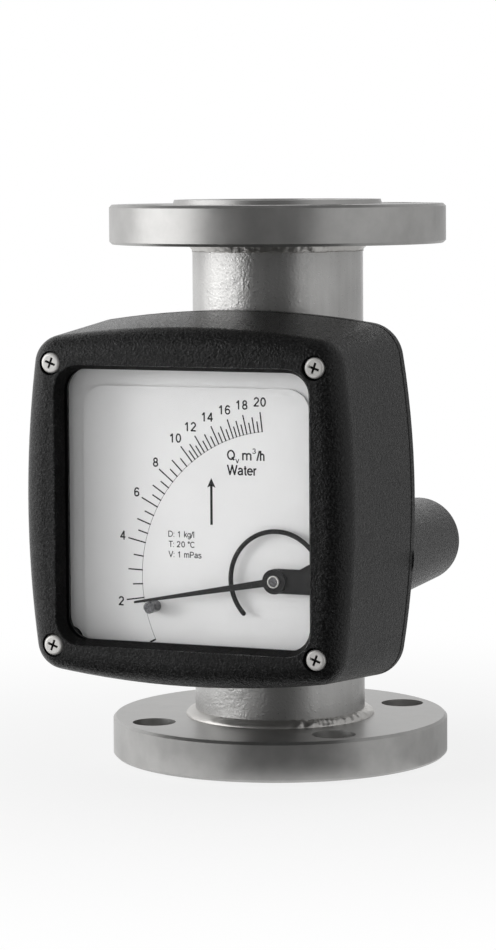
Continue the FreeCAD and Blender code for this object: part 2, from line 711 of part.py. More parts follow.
def glass_retainer():
    """Thin frame that clamps the glass into the cover from behind, cut away round the columns."""
    half_w, half_h, corner_r = glass_size()
    size = (half_w + RETAINER_WIDTH, half_h + RETAINER_HEIGHT, corner_r)
    frame = window_plate(size, GLASS_BACK_Y, RETAINER_BACK_Y)
    hole = window_plate(glass_size(), GLASS_BACK_Y - OVERCUT, RETAINER_BACK_Y + OVERCUT, -SEAL_WIDTH)
    frame = frame.cut(hole).common(inside_walls(SEAT_GAP))
    frame = drilled(frame, COVER_SCREWS, GLASS_BACK_Y - OVERCUT, RETAINER_BACK_Y + OVERCUT,
                    COLUMN_D / 2 + SEAT_GAP)
    return drilled(frame, retainer_screw_spots(), GLASS_BACK_Y - OVERCUT, RETAINER_BACK_Y + OVERCUT,
                   SMALL_SCREW_D / 2)


def retainer_screws():
    """Screws from behind the retainer frame into the cover."""
    return small_screws(retainer_screw_spots(), RETAINER_BACK_Y, CAVITY_FRONT_Y - RETAINER_TAP)


def cover_screws():
    """Long screws through the cover's columns into the housing's base."""
    top = SCREW_SEAT_Y - COVER_SCREW_HEAD_H
    solids = []
    for spot in COVER_SCREWS:
        head = cylinder_y(spot, top, SCREW_SEAT_Y, COVER_SCREW_HEAD_D / 2)
        head = head.makeFillet(COVER_SCREW_DOME_R, edges_at_y(head, top)).cut(cross_recess(spot, top))
        solids.append(head.fuse(cylinder_y(spot, SCREW_SEAT_Y, BACK_Y - BLIND_WALL, COVER_SCREW_D / 2)))
    return Part.makeCompound(solids)


def cross_recess(spot, y_top):
    """Cross slot for the driver, left a little off the vertical."""
    long_half = CROSS_LENGTH / 2
    thin_half = CROSS_WIDTH / 2
    arm = box_between((-long_half, y_top - OVERCUT, -thin_half), (long_half, y_top + CROSS_DEPTH, thin_half))
    cross = arm.fuse(arm.rotated(Vector(0, 0, 0), Vector(0, 1, 0), 90))
    cross.rotate(Vector(0, 0, 0), Vector(0, 1, 0), CROSS_TURN)
    return cross.translated(Vector(spot[0], 0, spot[1]))


# ---------------------------------------------------------------- base with the cable entry
def gasket_ring(gap=0.0):
    """Ring just inside the base's rim; a gap makes it the groove that holds the ring."""
    near = GASKET_INSET - gap
    far = GASKET_INSET + GASKET_WIDTH + gap
    outer = pillow_through([(JOINT_Y, near), (JOINT_Y + GASKET_T, near)])
    return outer.cut(pillow_through([(JOINT_Y - OVERCUT, far), (JOINT_Y + GASKET_T + OVERCUT, far)]))


def rear_base():
    """Back of the housing: gasket groove, threaded corner bosses and the long cable-entry boss."""
    entry = [(ENTRY_X, ENTRY_Z)]
    e = REAR_EDGE_BREAK
    base = pillow_through([(JOINT_Y, e), (JOINT_Y + e, 0), (BACK_Y - e, 0), (BACK_Y, e)])
    base = base.cut(gasket_ring(INSERT_GAP))
    boss_front = JOINT_Y - BASE_BOSS_H
    for spot in COVER_SCREWS:
        base = base.fuse(cylinder_y(spot, boss_front, JOINT_Y + OVERCUT, COLUMN_D / 2))
    base = base.fuse(entry_boss())
    base = drilled(base, COVER_SCREWS, boss_front - OVERCUT, BACK_Y - BLIND_WALL, COVER_SCREW_D / 2)
    base = drilled(base, HOUSING_SCREWS, JOINT_Y - OVERCUT, BACK_Y + OVERCUT, HOUSING_SCREW_D / 2)
    base = drilled(base, POSTS, JOINT_Y - OVERCUT, BACK_Y - BLIND_WALL, SMALL_SCREW_D / 2)
    base = drilled(base, entry, JOINT_Y - OVERCUT, ENTRY_END_Y - ENTRY_END_WALL, ENTRY_BORE_D / 2)
    return drilled(base, entry, JOINT_Y, ENTRY_END_Y + OVERCUT, ENTRY_THREAD_D / 2)


def entry_boss():
    """Tapered boss with a rounded end, sunk a little into the base."""
    boss = Part.makeCone(ENTRY_ROOT_D / 2, ENTRY_END_D / 2, ENTRY_LENGTH, Vector(ENTRY_X, BACK_Y, ENTRY_Z),
                         Vector(0, 1, 0))
    boss = boss.makeFillet(ENTRY_EDGE_R, edges_at_y(boss, ENTRY_END_Y))
    return boss.fuse(cylinder_y((ENTRY_X, ENTRY_Z), BACK_Y - OVERCUT, BACK_Y, ENTRY_ROOT_D / 2))


def entry_plug():
    """Hexagon blanking plug in the cable entry, its head's corners turned off."""
    seat = ENTRY_END_Y + PLUG_SEAL_T
    across = PLUG_HEX / math.sqrt(3)
    corners = []
    for k in range(6):
        angle = math.radians(60 * k)
        corners.append(Vector(ENTRY_X + across * math.cos(angle), seat, ENTRY_Z + across * math.sin(angle)))
    head = Part.Face(Part.makePolygon(corners + corners[:1])).extrude(Vector(0, PLUG_HEAD_T, 0))
    head = head.common(Part.makeCone(across + PLUG_HEAD_T, across - PLUG_CHAMFER, PLUG_HEAD_T,
                                     Vector(ENTRY_X, seat, ENTRY_Z), Vector(0, 1, 0)))
    thread_r = ENTRY_THREAD_D / 2 - PLUG_THREAD_GAP
    return head.fuse(cylinder_y((ENTRY_X, ENTRY_Z), ENTRY_END_Y - ENTRY_END_WALL, seat, thread_r))


def entry_seal():
    spot = (ENTRY_X, ENTRY_Z)
    end = ENTRY_END_Y + PLUG_SEAL_T
    ring = cylinder_y(spot, ENTRY_END_Y, end, PLUG_SEAL_D / 2)
    return drilled(ring, [spot], ENTRY_END_Y - OVERCUT, end + OVERCUT, ENTRY_THREAD_D / 2)


# ---------------------------------------------------------------- dial side of the movement
def stop_pin_spot():
    """The pin's axis, placed so that the needle at rest lies on top of the pin."""
    taper = (NEEDLE_ROOT_W - NEEDLE_TIP_W) / 2 / NEEDLE_LENGTH
    half_width = NEEDLE_ROOT_W / 2 - taper * STOP_PIN_RADIUS
    drop = math.asin((STOP_PIN_D / 2 + half_width + STOP_PIN_GAP) / STOP_PIN_RADIUS)
    angle = math.radians(NEEDLE_REST_ANGLE) - drop
    return (SHAFT_X - STOP_PIN_RADIUS * math.cos(angle), SHAFT_Z + STOP_PIN_RADIUS * math.sin(angle))


def pierced(shape):
    """A sheet with holes for the pointer's shaft and the stop pin's spigot."""
    y_front = DIAL_Y - OVERCUT
    y_back = CARRIER_BACK_Y + OVERCUT
    shape = drilled(shape, [(SHAFT_X, SHAFT_Z)], y_front, y_back, SHAFT_R + SHAFT_HOLE_GAP)
    return drilled(shape, [stop_pin_spot()], y_front, y_back, STOP_PIN_SPIGOT_D / 2)


def clear_of_cover(shape, y_front, y_back):
    """A sheet trimmed to the cover's inner walls and cut away round its columns."""
    shape = shape.common(inside_walls(COLUMN_GAP))
    return drilled(shape, COVER_SCREWS, y_front - OVERCUT, y_back + OVERCUT, COLUMN_D / 2 + COLUMN_GAP)


def dial_plate():
    dial = sheet(DIAL_LEFT, DIAL_RIGHT, DIAL_BELOW, DIAL_ABOVE, DIAL_Y, CARRIER_FRONT_Y, DIAL_CORNER_R)
    return pierced(dial)


def dial_carrier():
    carrier = sheet(CARRIER_LEFT, CARRIER_RIGHT, SHEET_HALF_H, SHEET_HALF_H, CARRIER_FRONT_Y, CARRIER_BACK_Y,
                    SHEET_CORNER_R)
    carrier = clear_of_cover(carrier, CARRIER_FRONT_Y, CARRIER_BACK_Y)
    carrier = drilled(carrier, POSTS, CARRIER_FRONT_Y - OVERCUT, CARRIER_BACK_Y + OVERCUT, SMALL_SCREW_D / 2)
    return pierced(carrier)


def carrier_screws():
    return small_screws(POSTS, CARRIER_FRONT_Y, CARRIER_BACK_Y + SMALL_SCREW_GRIP)


def dial_posts():
    """Pillars between the dial carrier and the movement plate, each with a stud at the back."""
    solids = []
    for spot in POSTS:
        post = cylinder_y(spot, CARRIER_BACK_Y, PLATE_FRONT_Y, POST_D / 2)
        post = drilled(post, [spot], CARRIER_BACK_Y - OVERCUT, CARRIER_BACK_Y + SMALL_SCREW_GRIP,
                       SMALL_SCREW_D / 2)
        solids.append(post.fuse(cylinder_y(spot, PLATE_FRONT_Y, PLATE_BACK_Y + POST_STUD, SMALL_SCREW_D / 2)))
    return Part.makeCompound(solids)


def base_posts():
    """Pillars between the movement plate and the base, tapped in front, with a stud at the back."""
    solids = []
    for spot in POSTS:
        post = cylinder_y(spot, PLATE_BACK_Y, JOINT_Y, POST_D / 2)
        post = drilled(post, [spot], PLATE_BACK_Y - OVERCUT, PLATE_BACK_Y + POST_STUD, SMALL_SCREW_D / 2)
        solids.append(post.fuse(cylinder_y(spot, JOINT_Y, BACK_Y - BLIND_WALL, SMALL_SCREW_D / 2)))
    return Part.makeCompound(solids)


def movement_plate():
    plate = sheet(PLATE_LEFT, PLATE_RIGHT, SHEET_HALF_H, SHEET_HALF_H, PLATE_FRONT_Y, PLATE_BACK_Y,
                  SHEET_CORNER_R)
    plate = clear_of_cover(plate, PLATE_FRONT_Y, PLATE_BACK_Y)
    y_front = PLATE_FRONT_Y - OVERCUT
    y_back = PLATE_BACK_Y + OVERCUT
    plate = drilled(plate, POSTS + BRIDGE_POSTS, y_front, y_back, SMALL_SCREW_D / 2)
    return drilled(plate, [(SHAFT_X, SHAFT_Z)], y_front, y_back, BUSH_D / 2)


# ---------------------------------------------------------------- bridge and hoop
def bridge_posts():
    """Pillars that carry the bridge's root, riveted into the movement plate."""
    solids = []
    for spot in BRIDGE_POSTS:
        post = cylinder_y(spot, BRIDGE_BACK_Y, PLATE_FRONT_Y, BRIDGE_POST_D / 2)
        post = drilled(post, [spot], BRIDGE_BACK_Y - OVERCUT, BRIDGE_BACK_Y + SMALL_SCREW_GRIP,
                       SMALL_SCREW_D / 2)
        solids.append(post.fuse(cylinder_y(spot, PLATE_FRONT_Y, PLATE_BACK_Y, SMALL_SCREW_D / 2)))
    return Part.makeCompound(solids)


def bridge_screws():
    return small_screws(BRIDGE_POSTS, BRIDGE_BACK_Y - BRIDGE_ROOT_T, BRIDGE_BACK_Y + SMALL_SCREW_GRIP)


def pointer_bridge():
    """Black moulding that holds the front bush, with the hoop that guards the needle.

    The arm has a crowned front and a round eye; its upper edge flares into a flat root that is
    screwed to two pillars beside the dial. The hoop springs from the flare and runs over the
    shaft, concentric with it, to a free round end at the lower left.
    """
    bridge = bridge_arm().fuse(bridge_root()).fuse(guard_hoop()).removeSplitter()
    front = BRIDGE_FRONT_Y - OVERCUT
    back = BRIDGE_BACK_Y + OVERCUT
    bridge = drilled(bridge, [(SHAFT_X, SHAFT_Z)], front, back, BUSH_D / 2)
    return drilled(bridge, BRIDGE_POSTS, front, back, SMALL_SCREW_D / 2)


def bridge_arm():
    half = BRIDGE_HEIGHT / 2
    flare_x = SHAFT_X + BRIDGE_FLARE_X
    end_x = BRIDGE_ROOT_LEFT + BRIDGE_ROOT_LAP
    corners = [
        (SHAFT_X, -half),
        (end_x, -half),
        (end_x, half + BRIDGE_FLARE_RISE),
        (flare_x + BRIDGE_FLARE_RUN, half + BRIDGE_FLARE_RISE),
        (flare_x, half),
        (SHAFT_X, half),
    ]
    points = [Vector(x, BRIDGE_FRONT_Y, SHAFT_Z + z) for x, z in corners]
    arm = Part.Face(Part.makePolygon(points + points[:1])).extrude(Vector(0, BRIDGE_T, 0))
    arm = arm.fuse(cylinder_y((SHAFT_X, SHAFT_Z), BRIDGE_FRONT_Y, BRIDGE_BACK_Y, half))
    crown_r = (half ** 2 + BRIDGE_CROWN ** 2) / (2 * BRIDGE_CROWN)
    start = Vector(SHAFT_X - half - OVERCUT, BRIDGE_FRONT_Y + crown_r, SHAFT_Z)
    length = BRIDGE_ROOT_X + BRIDGE_ROOT_W + BRIDGE_HEIGHT
    return arm.common(Part.makeCylinder(crown_r, length, start, Vector(1, 0, 0)))


def bridge_root():
    front = BRIDGE_BACK_Y - BRIDGE_ROOT_T
    outline = rounded_outline(BRIDGE_ROOT_LEFT, BRIDGE_ROOT_RIGHT, SHAFT_Z - BRIDGE_ROOT_HALF_H,
                              SHAFT_Z + BRIDGE_ROOT_HALF_H, BRIDGE_ROOT_CORNER_R, front)
    return Part.Face(outline).extrude(Vector(0, BRIDGE_ROOT_T, 0))


def guard_hoop():
    """Round wire bent about the shaft's axis, its free end rounded."""
    centre = Vector(SHAFT_X, DIAL_Y - HOOP_STAND_OFF, SHAFT_Z)
    wire_r = HOOP_WIRE_D / 2
    section = Part.Face(Part.Wire(Part.makeCircle(wire_r, centre + Vector(HOOP_R, 0, 0), Vector(0, 0, 1))))
    hoop = section.revolve(centre, Vector(0, -1, 0), HOOP_END_ANGLE - HOOP_START_ANGLE)
    hoop.rotate(centre, Vector(0, -1, 0), HOOP_START_ANGLE)
    angle = math.radians(HOOP_END_ANGLE)
    end = centre + Vector(HOOP_R * math.cos(angle), 0, HOOP_R * math.sin(angle))
    return hoop.fuse(Part.makeSphere(wire_r, end))


def bush(y_front, y_back):
    """Flanged bearing bush whose flange lies behind the piece that holds it."""
    spot = (SHAFT_X, SHAFT_Z)
    end = y_back + BUSH_FLANGE_T
    body = cylinder_y(spot, y_front, y_back, BUSH_D / 2)
    body = body.fuse(cylinder_y(spot, y_back, end, BUSH_D / 2 + BUSH_FLANGE_STEP))
    return drilled(body, [spot], y_front - OVERCUT, end + OVERCUT, SHAFT_R + RUNNING_GAP)


def stop_pin():
    """Slotted pin that the needle rests on, held in the dial carrier by its spigot."""
    spot = stop_pin_spot()
    front = DIAL_Y - STOP_PIN_H
    pin = cylinder_y(spot, front, DIAL_Y, STOP_PIN_D / 2)
    pin = pin.makeFillet(STOP_PIN_EDGE_R, edges_at_y(pin, front))
    half = STOP_PIN_SLOT / 2
    slot = box_between((-STOP_PIN_D, front - OVERCUT, -half), (STOP_PIN_D, front + STOP_PIN_SLOT_DEPTH, half))
    slot.rotate(Vector(0, 0, 0), Vector(0, 1, 0), STOP_PIN_TURN)
    pin = pin.cut(slot.translated(Vector(spot[0], 0, spot[1])))
    return pin.fuse(cylinder_y(spot, DIAL_Y, CARRIER_BACK_Y, STOP_PIN_SPIGOT_D / 2))


# ---------------------------------------------------------------- what turns with the shaft
# These are drawn about the shaft's axis with the needle or arm pointing left, then turned.
AXIS = (0.0, 0.0)


def at_shaft(shape, angle):
    """Move a piece drawn about the axis to the shaft, turned upwards from the left by an angle."""
    turned = shape.rotated(Vector(0, 0, 0), Vector(0, 1, 0), angle)
    return turned.translated(Vector(SHAFT_X, 0, SHAFT_Z))


def pointer_shaft():
    shaft = cylinder_y((SHAFT_X, SHAFT_Z), NEEDLE_FRONT_Y, SHAFT_REAR_Y, SHAFT_R)
    return shaft.makeChamfer(SHAFT_CHAMFER, edges_at_y(shaft, SHAFT_REAR_Y))


def pointer_needle():
    """Flat tapered needle with a round hub and a rounded tip."""
    root = NEEDLE_ROOT_W / 2
    tip = NEEDLE_TIP_W / 2
    end = tip - NEEDLE_LENGTH
    y = NEEDLE_FRONT_Y
    outline = Part.Wire([
        Part.makeLine(Vector(0, y, -root), Vector(0, y, root)),
        Part.makeLine(Vector(0, y, root), Vector(end, y, tip)),
        through(Vector(end, y, tip), Vector(end, y, -tip), Vector(end - tip, y, 0)),
        Part.makeLine(Vector(end, y, -tip), Vector(0, y, -root)),
    ])
    hub = cylinder_y(AXIS, y, NEEDLE_BACK_Y, HUB_D / 2)
    hub = hub.makeFillet(HUB_EDGE_R, edges_at_y(hub, y))
    needle = Part.Face(outline).extrude(Vector(0, NEEDLE_T, 0)).fuse(hub)
    needle = drilled(needle, [AXIS], y - OVERCUT, NEEDLE_BACK_Y + OVERCUT, SHAFT_R)
    return at_shaft(needle, NEEDLE_REST_ANGLE)


def hub_collet():
    """Bright collar ring on the needle's hub, round the screw."""
    front = NEEDLE_FRONT_Y - COLLET_H
    ring = cylinder_y(AXIS, front, NEEDLE_FRONT_Y, COLLET_D / 2)
    ring = ring.makeChamfer(COLLET_CHAMFER, edges_at_y(ring, front))
    ring = drilled(ring, [AXIS], front - OVERCUT, NEEDLE_FRONT_Y + OVERCUT, COLLET_BORE / 2)
    return at_shaft(ring, 0)


def hub_screw():
    """Slotted screw that clamps the needle on the end of the shaft."""
    front = NEEDLE_FRONT_Y - HUB_SCREW_H
    head = cylinder_y(AXIS, front, NEEDLE_FRONT_Y, HUB_SCREW_D / 2)
    head = head.makeFillet(HUB_SCREW_EDGE_R, edges_at_y(head, front))
    half = HUB_SCREW_SLOT / 2
    slot_end = front + HUB_SCREW_SLOT_DEPTH
    slot = box_between((-HUB_SCREW_D, front - OVERCUT, -half), (HUB_SCREW_D, slot_end, half))
    return at_shaft(head.cut(slot), HUB_SCREW_TURN)


def follower_arm():
    """Arm behind the plate: magnet socket at one end, counterweight seat at the other."""
    half = FOLLOWER_ARM_W / 2
    socket_r = FOLLOWER_MAGNET_D / 2 + FOLLOWER_SOCKET_RIM
    arm = box_between((-FOLLOWER_RADIUS, FOLLOWER_Y, -half), (COUNTERWEIGHT_RADIUS, FOLLOWER_BACK_Y, half))
    arm = arm.fuse(cylinder_y((-FOLLOWER_RADIUS, 0), FOLLOWER_Y, FOLLOWER_BACK_Y, socket_r))
    arm = arm.fuse(cylinder_y((COUNTERWEIGHT_RADIUS, 0), FOLLOWER_Y, FOLLOWER_BACK_Y, COUNTERWEIGHT_D / 2))
    arm = arm.fuse(cylinder_y(AXIS, FOLLOWER_Y, FOLLOWER_Y + FOLLOWER_HUB_L, FOLLOWER_HUB_D / 2))
    arm = arm.removeSplitter()
    arm = drilled(arm, [AXIS], FOLLOWER_Y - OVERCUT, FOLLOWER_Y + FOLLOWER_HUB_L + OVERCUT, SHAFT_R)
    return at_shaft(arm, -POINTER_SWEEP / 2)


def follower_magnet():
    spot = (-FOLLOWER_RADIUS, 0)
    magnet = cylinder_y(spot, FOLLOWER_BACK_Y, FOLLOWER_BACK_Y + FOLLOWER_MAGNET_L, FOLLOWER_MAGNET_D / 2)
    return at_shaft(magnet, -POINTER_SWEEP / 2)


def counterweight():
    spot = (COUNTERWEIGHT_RADIUS, 0)
    weight = cylinder_y(spot, FOLLOWER_BACK_Y, FOLLOWER_BACK_Y + COUNTERWEIGHT_T, COUNTERWEIGHT_D / 2)
    return at_shaft(weight, -POINTER_SWEEP / 2)


def brake_disc():
    """Aluminium disc that turns in the brake magnets' gap and steadies the needle."""
    disc = cylinder_y(AXIS, BRAKE_DISC_Y, BRAKE_DISC_Y + BRAKE_DISC_T, BRAKE_DISC_D / 2)
    disc = disc.fuse(cylinder_y(AXIS, BRAKE_DISC_Y, BRAKE_DISC_Y + BRAKE_HUB_L, BRAKE_HUB_D / 2))
    disc = drilled(disc, [AXIS], BRAKE_DISC_Y - OVERCUT, BRAKE_DISC_Y + BRAKE_HUB_L + OVERCUT, SHAFT_R)
    return at_shaft(disc, 0)


# ---------------------------------------------------------------- brake on the movement plate
def brake_magnets():
    """Two flat magnets that face each other across the disc, near its edge."""
    spot = (BRAKE_EDGE_X - BRAKE_MAGNET_D / 2, SHAFT_Z)
    return Part.makeCompound([
        cylinder_y(spot, BRAKE_FRONT_Y - BRAKE_MAGNET_T, BRAKE_FRONT_Y, BRAKE_MAGNET_D / 2),
        cylinder_y(spot, BRAKE_BACK_Y, BRAKE_BACK_Y + BRAKE_MAGNET_T, BRAKE_MAGNET_D / 2),
    ])


def brake_yoke():
    """Bent yoke round the disc's edge, standing on the movement plate."""
    z_low = SHAFT_Z - BRAKE_YOKE_HALF_H
    z_high = SHAFT_Z + BRAKE_YOKE_HALF_H
    inner = BRAKE_EDGE_X - BRAKE_YOKE_REACH
    web = BRAKE_EDGE_X + BRAKE_YOKE_CLEAR
    front = BRAKE_FRONT_Y - BRAKE_MAGNET_T
    back = BRAKE_BACK_Y + BRAKE_MAGNET_T

    def slab(y_front, y_back, x_left):
        return box_between((x_left, y_front, z_low), (web + BRAKE_YOKE_T, y_back, z_high))

    yoke = slab(front - BRAKE_YOKE_T, front, inner)
    yoke = yoke.fuse(slab(front, PLATE_FRONT_Y, web))
    return yoke.fuse(slab(back, back + BRAKE_YOKE_T, inner)).removeSplitter()


# ---------------------------------------------------------------- the assembly
def build():
    return {
        "inlet_flange": inlet_flange(),
        "outlet_flange": mirrored_to_outlet(inlet_flange()),
        "metering_tube": metering_tube(),
        "inlet_weld": inlet_weld(),
        "outlet_weld": mirrored_to_outlet(inlet_weld()),
        "metering_cone": metering_cone(),
        "lower_guide": guide_star(LOWER_GUIDE_TOP - GUIDE_HEIGHT),
        "upper_guide": guide_star(UPPER_GUIDE_BOTTOM),
        "float_body": float_body(),
        "float_magnet": magnet_ring(INSERT_GAP),
        "float_rod": float_rod(),
        "float_stop_collar": float_stop_collar(),
        "mounting_block": mounting_block(),
        "block_welds": block_welds(),
        "housing_screws": housing_screws(),
        "rear_base": rear_base(),
        "base_gasket": gasket_ring(),
        "entry_plug": entry_plug(),
        "entry_seal": entry_seal(),
        "front_cover": front_cover(),
        "cover_screws": cover_screws(),
        "window_glass": window_glass(),
        "glass_seal": glass_seal(),
        "glass_retainer": glass_retainer(),
        "retainer_screws": retainer_screws(),
        "dial_plate": dial_plate(),
        "dial_carrier": dial_carrier(),
        "carrier_screws": carrier_screws(),
        "dial_posts": dial_posts(),
        "base_posts": base_posts(),
        "movement_plate": movement_plate(),
        "bridge_posts": bridge_posts(),
        "bridge_screws": bridge_screws(),
        "pointer_bridge": pointer_bridge(),
        "front_bush": bush(BRIDGE_FRONT_Y + INSERT_GAP, BRIDGE_BACK_Y),
        "rear_bush": bush(PLATE_FRONT_Y, PLATE_BACK_Y),
        "stop_pin": stop_pin(),
        "brake_yoke": brake_yoke(),
        "brake_magnets": brake_magnets(),
        "pointer_shaft": pointer_shaft(),
        "pointer_needle": pointer_needle(),
        "hub_collet": hub_collet(),
        "hub_screw": hub_screw(),
        "follower_arm": follower_arm(),
        "follower_magnet": follower_magnet(),
        "counterweight": counterweight(),
        "brake_disc": brake_disc(),
    }


def main():
    os.makedirs("parts", exist_ok=True)
    for node, shape in build().items():
        shape.exportStep(f"parts/{node}.step")
        print(f"{node}: {len(shape.Solids)} solid(s), {shape.Volume / 1000:.2f} cm3, valid {shape.isValid()}")


main()
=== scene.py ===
"""Finishes, dial print and weld detail of a metal-tube variable-area flow meter.

Run as a script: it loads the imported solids, gives every piece its finish, adds the
printed scale and the welded beads, and sets the meter on a pale studio floor.
"""
import math

import bmesh
import bpy
from mathutils import Matrix, Vector, noise


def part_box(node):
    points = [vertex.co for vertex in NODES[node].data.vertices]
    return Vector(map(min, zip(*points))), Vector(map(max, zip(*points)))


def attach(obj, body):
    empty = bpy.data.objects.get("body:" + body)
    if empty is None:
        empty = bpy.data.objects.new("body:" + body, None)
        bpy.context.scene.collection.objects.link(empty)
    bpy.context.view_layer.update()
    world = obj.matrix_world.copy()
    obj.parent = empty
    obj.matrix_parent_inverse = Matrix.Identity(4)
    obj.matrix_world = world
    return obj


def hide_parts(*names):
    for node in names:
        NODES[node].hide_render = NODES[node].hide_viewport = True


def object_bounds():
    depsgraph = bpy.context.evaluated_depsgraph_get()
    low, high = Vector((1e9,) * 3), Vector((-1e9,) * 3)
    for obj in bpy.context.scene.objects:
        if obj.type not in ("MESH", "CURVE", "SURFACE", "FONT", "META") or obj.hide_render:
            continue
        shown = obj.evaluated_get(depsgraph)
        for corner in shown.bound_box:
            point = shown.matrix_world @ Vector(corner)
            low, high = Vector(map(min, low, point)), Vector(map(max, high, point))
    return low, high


bl_info = {
    "name": "Rotameter Finish",
    "version": (1, 0, 0),
    "blender": (4, 5, 0),
    "location": "3D View > Sidebar > Rotameter",
    "description": "Finishes, dial print, weld beads and studio of a metal-tube flow meter",
    "category": "Object",
}

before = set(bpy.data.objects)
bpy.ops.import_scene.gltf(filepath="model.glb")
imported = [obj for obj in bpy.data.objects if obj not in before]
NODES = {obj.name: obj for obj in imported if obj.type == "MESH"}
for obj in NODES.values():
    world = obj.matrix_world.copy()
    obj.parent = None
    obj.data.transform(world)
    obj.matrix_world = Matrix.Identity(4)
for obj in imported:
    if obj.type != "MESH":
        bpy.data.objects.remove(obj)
CAD_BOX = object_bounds()

MM = 0.001
INK_THICKNESS = 0.03 * MM
MERGE_DISTANCE = 0.0005 * MM
FIXED_BODY = "meter_frame"
RIGHT = Vector((1, 0, 0))
UP = Vector((0, 0, 1))
TOWARDS_FRONT = Vector((0, -1, 0))

DIAL_FACE_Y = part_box("dial_plate")[0].y
SHAFT_CENTRE = sum(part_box("brake_disc"), Vector()) / 2
TUBE_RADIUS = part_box("metering_tube")[1].x
METER_HEIGHT = CAD_BOX[1].z


# -------- sizes and colours
def number(name, description, default, **kind):
    """Property that holds one number; kind gives its unit, subtype or limit."""
    return bpy.props.FloatProperty(name=name, description=description, default=default, **kind)


def length(name, description, default):
    """Property that holds a length; its default is given in millimetres."""
    return number(name, description, default * MM, unit="LENGTH")


def degrees(name, description, default):
    """Property that holds an angle; its default is given in degrees."""
    return number(name, description, math.radians(default), subtype="ANGLE")


def colour(name, description, default):
    """Property that holds one finish's colour."""
    return bpy.props.FloatVectorProperty(
        name=name, description=description, default=default, subtype="COLOR", min=0, max=1)


class DialSettings(bpy.types.PropertyGroup):
    """Sizes of the printed scale and words."""

    centre_drop: length("Centre drop", "How far the scale's centre lies below the shaft", 0.75)
    centre_aside: length("Centre aside", "How far the scale's centre lies beside the shaft", 0.3)
    inner_radius: length("Tick start", "Radius where every tick starts", 62.96)
    long_radius: length("Long tick end", "Outer radius of the numbered ticks", 71.4)
    medium_radius: length("Medium tick end", "Outer radius of the whole-number ticks", 69.7)
    short_radius: length("Short tick end", "Outer radius of the half ticks", 67.7)
    tick_width: length("Tick width", "Width of a tick's line", 0.58)
    arc_radius: length("Arc radius", "Radius of the hairline under the ticks", 63.15)
    arc_width: length("Arc width", "Width of the hairline", 0.16)
    numeral_height: length("Numeral height", "Height of the scale's numbers", 3.9)
    title_height: length("Title height", "Capital height of the quantity and the medium", 4.2)
    note_height: length("Note height", "Capital height of the calibration lines", 2.6)
    note_top: length(
        "Note top", "Height of the first calibration line over the scale's centre", 17.0)
    note_pitch: length("Note pitch", "Distance from one calibration line to the next", 4.3)


class WeldSettings(bpy.types.PropertyGroup):
    """Sizes of the two fillet beads round the tube."""

    lower_legs: bpy.props.FloatVectorProperty(
        name="Lower legs", description="Fillet's reach over the lower flange and up the tube",
        default=(4.2 * MM, 3.0 * MM), size=2, unit="LENGTH")
    upper_legs: bpy.props.FloatVectorProperty(
        name="Upper legs", description="Fillet's reach over the upper flange and down the tube",
        default=(2.6 * MM, 3.4 * MM), size=2, unit="LENGTH")
    lower_hollow: number(
        "Lower hollow", "Lower fillet: 1 bulges, 2 is flat, more is hollow", 1.2, min=1)
    upper_hollow: number(
        "Upper hollow", "Upper fillet: 1 bulges, 2 is flat, more is hollow", 2.3, min=1)
    undercut: length("Undercut", "Step where the bead's toe ends on the tube", 0.35)
    ripple_pitch: length("Ripple pitch", "Distance from one ripple to the next", 1.8)
    ripple_height: length("Ripple height", "Height of the ripples where they are coarsest", 0.32)
    wander: length("Wander", "How far the bead's edge wanders", 0.7)


class FinishSettings(bpy.types.PropertyGroup):
    """Colours of the finishes."""

    flange: colour("Flange steel", "Satin pickled stainless steel", (0.44, 0.436, 0.428))
    tube: colour("Blasted steel", "Bead-blasted stainless pipe", (0.49, 0.486, 0.478))
    weld: colour("Weld steel", "Brushed weld metal", (0.46, 0.452, 0.44))
    turned: colour("Turned steel", "Fine turned stainless steel", (0.58, 0.58, 0.575))
    plated: colour("Plated screws", "Bright plated screw heads", (0.66, 0.65, 0.63))
    paint: colour("Housing paint", "Wrinkle paint on the housing", (0.003, 0.003, 0.0031))
    black: colour("Black parts", "Matt black needle, arm and seals", (0.005, 0.005, 0.0052))
    dial: colour("Dial", "White painted dial sheet", (0.74, 0.74, 0.74))
    ink: colour("Ink", "Dark grey print on the dial", (0.007, 0.007, 0.0075))
    brass: colour("Brass", "Bearing bushes", (0.62, 0.44, 0.19))
    alloy: colour("Movement alloy", "Movement plates and posts", (0.60, 0.61, 0.62))
    dull: colour("Dull steel", "Dull slotted ends of the hub and the stop pin", (0.13, 0.13, 0.135))
    magnet: colour("Magnet", "Nickel-plated magnets", (0.34, 0.34, 0.35))


